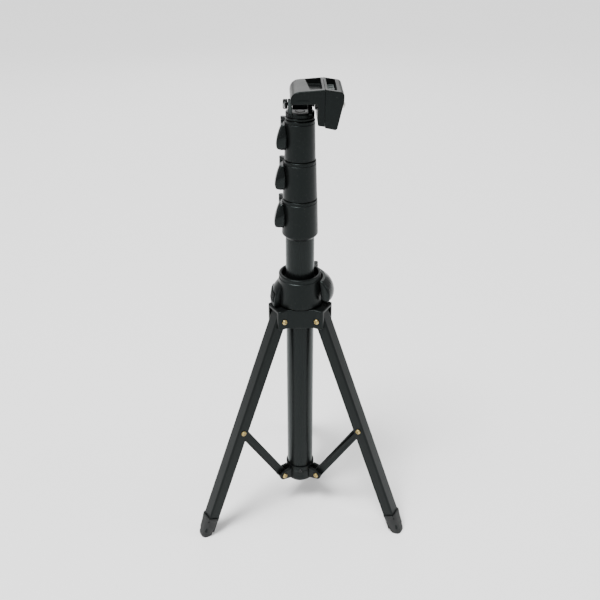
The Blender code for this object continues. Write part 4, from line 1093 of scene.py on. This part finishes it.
def make_collar_lever():
    """A hollow shell that wraps the collar's right side, closed at its free end by a wall."""
    outer = fine_line(LEVER_OUTER, 4)
    shell = [*outer, *fine_line(LEVER_INNER, 3)]
    solid = [*outer, *fine_line(LEVER_CORE, 3)]
    back = COLLAR_PIN - 2
    front = back - LEVER_SWEEP
    stops = [
        (front, shrunk(solid, 2.2)), (front + 0.7, shrunk(solid, 0.9)), (front + 2.0, shrunk(solid, 0.25)),
        (front + 3.6, solid), (front + 6.2, solid), (front + 6.5, shell),
        *[(front + turn, shell) for turn in range(10, 86, 4)],
        (back - 2, shell), (back - 0.8, shrunk(shell, 0.3)), (back, shrunk(shell, 1.0)),
    ]
    lever = swept("collar_lever_shell", stops)
    add_barrel(lever, place_of("hub_lever_hinge") - MAST, *levels("collar_lever"))
    settle(lever, at(MAST))
    done(lever, "lever_plastic", "hub_lever", "collar_lever", smooth=42)


# ---- clamp head

HEAD_DEPTH = 42.0
SPLIT_X = 19.5  # the plane between the two jaws
SPLIT_HALF = 0.15
HEAD_TOP = 441.2
HEAD_APEX = 443.4
BLOCK_LEFT = -8.4
BLOCK_BOTTOM = 431.2
SKIRT_LEFT = 13.8
SKIRT_BOTTOM = 413.9
JAW_RIGHT = 35.0
JAW_FOOT = (29.2, 410.2)
TILT = place_of("head_tilt")
ROD_Z = middle("front_jaw_rod").z
ROD_Y = middle("rear_jaw_rod").y - MAST.y
NECK_R = 12.2
YOKE_FLOOR = 420.8
BOLT_BORE = 1.7
ROD_BORE = 1.5
POCKET_FRONT = -HEAD_DEPTH / 2 + 4.2
POCKET_BACK = HEAD_DEPTH / 2 - 2.0
PAD_RECESS = (1.8, 32.6, 12.6)
STUD_HEAD = 3.6
INSERT_X = 25.5  # middle of the moving jaw's pocket and of the block in it


def head_slab(name, outline, depth=HEAD_DEPTH):
    piece = slab(name, outline, depth)
    return settle(piece, at((0, MAST.y, 0), STAND_UP))


def bore_for_rods(jaw, length, x):
    for side in (-1, 1):
        cut(jaw, drill("rod_bore", ROD_BORE, length, (x, MAST.y + side * ROD_Y, ROD_Z), ALONG_X))


def make_fixed_jaw():
    """The hump: one pocket in its top, a recess for the pad, and the knuckle that tilts in the yoke."""
    right = SPLIT_X - SPLIT_HALF
    apex = HEAD_TOP + (HEAD_APEX - HEAD_TOP) * (right - BLOCK_LEFT) / (SPLIT_X - BLOCK_LEFT)
    outline = [
        (right + 4, apex - 0.05), (right + 4, SKIRT_BOTTOM - 1.5), (SKIRT_LEFT, SKIRT_BOTTOM),
        *arc((SKIRT_LEFT - 3.0, BLOCK_BOTTOM - 3.0), 3.0, 0, 90, 6), (BLOCK_LEFT, BLOCK_BOTTOM),
        *arc((BLOCK_LEFT + 8.0, HEAD_TOP + 0.4 - 8.0), 8.0, 180, 95, 14),
    ]
    jaw = head_slab("fixed_jaw", outline)
    soften(jaw, 1.1, 4, 40)
    cut(jaw, block("split", (20, 60, 60), (right + 10, MAST.y, HEAD_TOP - 15)))
    left, end = 6.4, right - 1.7
    front, back = POCKET_FRONT, POCKET_BACK
    floor = ROD_Z + 3.0
    mouth = floor + 12
    pocket = loft("pocket", [
        [(left + 1.4, front + 0.4, floor), (end - 0.3, front + 0.4, floor), (end - 0.3, back - 0.4, floor),
         (left - 1.6, back - 0.4, floor)],
        [(left + 1.0, front, mouth), (end, front, mouth), (end, back, mouth), (left - 2.4, back, mouth)],
    ])
    soften(pocket, 0.7, 3, 20)
    settle(pocket, at((0, MAST.y, 0)))
    recess = block("recess", PAD_RECESS, (right, MAST.y, middle("fixed_pad").z))
    cut(jaw, pocket, recess)
    line = block("line", (9.0, 0.7, 0.7), (2.0, MAST.y - HEAD_DEPTH / 2, HEAD_TOP - 6.5))
    cut(jaw, line)
    skin = BLOCK_BOTTOM - TILT.z
    knuckle = slab("knuckle", [
        (12.0, skin + 1), (-12.0, skin + 1), (-12.0, skin), (-7.0, 0.6), *arc((0, 0), 4.6, 215, 325, 14),
        (7.0, 0.6), (12.0, skin),
    ], 12.6)
    soften(knuckle, 0.5, 2, 50)
    settle(knuckle, at(TILT, STAND_SIDE))
    web = slab("web", [
        (13.0, skin + 1), (-13.0, skin + 1), (-12.5, skin), (-8.0, 1.4), *arc((0, 0), 4.8, 215, 325, 14),
        (8.0, 1.4), (12.5, skin),
    ], 2.0)
    soften(web, 0.4, 2, 50)
    settle(web, at((13.15, TILT.y, TILT.z), STAND_SIDE))
    fuse(jaw, knuckle, web)
    cut(jaw, drill("bolt_bore", BOLT_BORE, 24, TILT, ALONG_X))
    bore_for_rods(jaw, 40, 14.5)
    done(jaw, "black_plastic", "clamp", "clamp_body", smooth=40)


def make_moving_jaw():
    """The sliding jaw with its own pocket, and the notched block that sits in the pocket."""
    left = SPLIT_X + SPLIT_HALF
    foot_x, foot_z = JAW_FOOT
    outline = [
        (left - 4, SKIRT_BOTTOM - 0.9), (foot_x - 1.0, foot_z + 0.02), (foot_x + 0.6, foot_z + 1.0),
        (JAW_RIGHT, 434.0), *arc((JAW_RIGHT - 3.5, HEAD_TOP - 3.5), 3.5, 0, 80, 10),
        (left - 4, HEAD_APEX + 0.4),
    ]
    jaw = head_slab("moving_jaw", outline)
    soften(jaw, 1.0, 4, 25)
    cut(jaw, block("split", (20, 60, 60), (left - 10, MAST.y, HEAD_TOP - 15)))
    long, middle_y = POCKET_BACK - POCKET_FRONT, MAST.y + (POCKET_FRONT + POCKET_BACK) / 2
    pocket = block("pocket", (7.8, long, 30), (INSERT_X, middle_y, 449))
    soften(pocket, 0.7, 3)
    recess = block("recess", PAD_RECESS, (left, MAST.y, middle("jaw_pad").z))
    cut(jaw, pocket, recess)
    bore_for_rods(jaw, 6, left + 2.0)
    done(jaw, "black_plastic", "jaw", "sliding_jaw", smooth=40)
    insert = block("jaw_insert", (6.2, long - 1.4, 3.2), (INSERT_X, middle_y, 435.9))
    soften(insert, 0.5, 3)
    for step in range(-2, 3):
        notch = block("notch", (3.4, 2.6, 2.4), (INSERT_X, middle_y + step * 6.0, 437.6))
        soften(notch, 0.3, 2)
        cut(insert, notch)
    done(insert, "nylon", "jaw", "jaw_block")


def ribbed_pad(name, body, face, side):
    """A rubber pad with shallow upright ribs; its face is at x = face and it grips toward side."""
    centre = middle(name)
    pad = block(name + "_skin", (0.5, 32.0, 12.0), (face - side * 0.33, MAST.y, centre.z))
    soften(pad, 0.12, 2)
    for step in range(-7, 8):
        rib = block("rib", (0.3, 1.1, 10.6), (face - side * 0.15, MAST.y + step * 2.05, centre.z))
        fuse(pad, rib)
    done(pad, "rubber", body, name)


def make_neck():
    """The plug in the top tube, the yoke that pans on it, and the tilt bolt."""
    bottom, top = levels("top_plug")
    step = high("top_inner_tube").z + GAP
    plug = turned("neck_plug", [
        (2.2, top), (NECK_R - 0.6, top), (NECK_R, top - 0.5), (NECK_R, top - 1.6), (NECK_R - 0.5, top - 2.1),
        (7.6, top - 2.1), (7.6, step), (6.4, step), (6.4, bottom + 0.5), (5.9, bottom), (2.2, bottom),
    ])
    settle(plug, at(MAST))
    done(plug, "black_plastic", "top_stage", "top_plug")
    base, floor = low("tilt_yoke").z, YOKE_FLOOR
    yoke = turned("neck_yoke", [
        (3.9, floor - 1.0), (4.4, floor - 0.4), (NECK_R - 1.6, floor),
        *arc((NECK_R - 1.2, floor - 1.2), 1.2, 80, 0, 5), (NECK_R, base + 0.6), (NECK_R - 0.5, base),
        (2.2, base), (2.2, floor - 1.9), (3.9, floor - 1.9),
    ])
    settle(yoke, at(MAST))
    for side in (-1, 1):
        ear_foot = floor - TILT.z
        ear = slab("ear", [
            (11.0, ear_foot - 1.0), (11.0, ear_foot + 0.4), (7.0, -0.6), *arc((0, 0), 4.3, 28, 152, 14),
            (-7.0, -0.6), (-11.0, ear_foot + 0.4), (-11.0, ear_foot - 1.0),
        ], 3.4)
        soften(ear, 0.5, 3, 50)
        settle(ear, at((side * 8.3, TILT.y, TILT.z), STAND_SIDE))
        fuse(yoke, ear)
    for turn in range(30):
        notch = block("notch", (1.0, 0.9, 2.2))
        angle = math.radians(turn * 12)
        spot = (NECK_R * math.cos(angle), MAST.y + NECK_R * math.sin(angle), base + 1.4)
        settle(notch, at(spot, (0, 0, angle)))
        cut(yoke, notch)
    cut(yoke, drill("bore", BOLT_BORE, 40, TILT, ALONG_X))
    done(yoke, "black_plastic", "pan_head", "tilt_yoke")
    bolt = drill("bolt_head", 2.6, 1.5, sides=6)
    soften(bolt, 0.25, 2)
    shank = drill("shank", SCREW_R, 22.6, (0, 0, -11.6))
    fuse(bolt, shank)
    settle(bolt, at((high("tilt_bolt").x - 0.8, TILT.y, TILT.z), ALONG_X))
    done(bolt, "black_steel", "pan_head", "tilt_bolt")


def make_wing():
    """The thumb nut: a ridged boss and one paddle that sweeps forward and outward, thicker at its rim."""
    left, right = low("tilt_wing").x, high("tilt_wing").x
    front = low("tilt_wing").y
    boss = turned("wing_nut", [
        (BOLT_BORE, right), (3.7, right), (4.1, right - 0.4), (4.1, left + 0.8), (3.3, left + 0.1),
        (BOLT_BORE, left + 0.1),
    ], steps=48)
    settle(boss, at((0, TILT.y, TILT.z), ALONG_X))
    rings = []
    length = TILT.y - front
    for i in range(15):
        along = i / 14
        y = -length * (0.06 + 0.93 * along)
        closing = math.sqrt(max(0.02, 1 - ease((along - 0.78) / 0.22) ** 2))
        half_wide = (1.0 + 0.75 * math.sin(math.pi * min(1.0, along * 1.1))) * closing
        half_tall = (3.2 - 1.2 * along) * closing
        centre_x = (left + right) / 2 + 0.2 * math.sin(math.pi * along)
        centre_z = 4.4 * along - 0.8 * math.sin(math.pi * along)
        rings.append([
            (centre_x + half_wide * math.cos(a), y, centre_z + half_tall * math.sin(a))
            for a in (2 * math.pi * k / 16 for k in range(16))
        ])
    paddle = loft("paddle", rings, smooth=1)
    settle(paddle, at(TILT))
    fuse(boss, paddle)
    done(boss, "lever_plastic", "wing_nut", "tilt_wing", smooth=45)


def make_head_metal():
    """The two guide rods, the stud on the moving jaw, and the spring on the front rod."""
    for node in ("front_jaw_rod", "rear_jaw_rod"):
        centre = middle(node)
        rod = drill(node + "_bar", 1.15, high(node).x - low(node).x - 0.6)
        soften(rod, 0.3, 2)
        settle(rod, at(centre, ALONG_X))
        done(rod, "steel", "jaw", node)
    centre = middle("jaw_stud")
    seat = high("jaw_stud").x - STUD_HEAD
    stud = turned("stud_button", [
        (0, STUD_HEAD), (0.9, 3.55), (1.7, 3.2), (2.25, 2.6), (2.5, 1.8), (2.5, 1.2), (2.3, 0.9), (2.5, 0.6),
        (2.5, 0), (1.5, 0), (1.5, -8), (0, -8),
    ], closed=False, steps=SMALL)
    settle(stud, at((seat, centre.y, centre.z), ALONG_X))
    done(stud, "steel", "jaw", "jaw_stud")
    left, right = low("jaw_spring").x, high("jaw_spring").x
    turns, steps, wire, coil = 16, 20, 0.32, 1.66
    rings = []
    for i in range(turns * steps + 1):
        angle = 2 * math.pi * i / steps
        x = left + wire + (right - left - 2 * wire) * i / (turns * steps)
        out = Vector((0, math.cos(angle), math.sin(angle)))
        rings.append([
            tuple(Vector((x, 0, 0)) + out * (coil + wire * math.cos(a)) + Vector((wire * math.sin(a), 0, 0)))
            for a in (2 * math.pi * k / 8 for k in range(8))
        ])
    spring = loft("jaw_spring_coil", rings)
    settle(spring, at((0, middle("jaw_spring").y, middle("jaw_spring").z)))
    done(spring, "steel", "clamp", "jaw_spring", even=False)


# ---- final steps

def repaint_rest():
    """CAD nodes that keep their own shape get the finished materials."""
    finishes = {part["node"]: part["material_slot"] for part in frame["record"]["subparts"]}
    for node, obj in frame["nodes"].items():
        obj.data.materials.clear()
        obj.data.materials.append(PAINTS["black_steel" if node == "pan_screw" else finishes[node]])


make_camera()
make_floor()
make_light()
repaint_rest()
make_tubes()
make_base_cap()
make_legs()
make_screws()
for lock_size in LOCKS:
    lock_collar(lock_size)
    lock_fin(lock_size)
make_hub()
make_collar()
make_collar_lever()
make_fixed_jaw()
make_moving_jaw()
ribbed_pad("fixed_pad", "clamp", SPLIT_X - SPLIT_HALF, 1)
ribbed_pad("jaw_pad", "jaw", SPLIT_X + SPLIT_HALF, -1)
make_neck()
make_wing()
make_head_metal()
deselect()
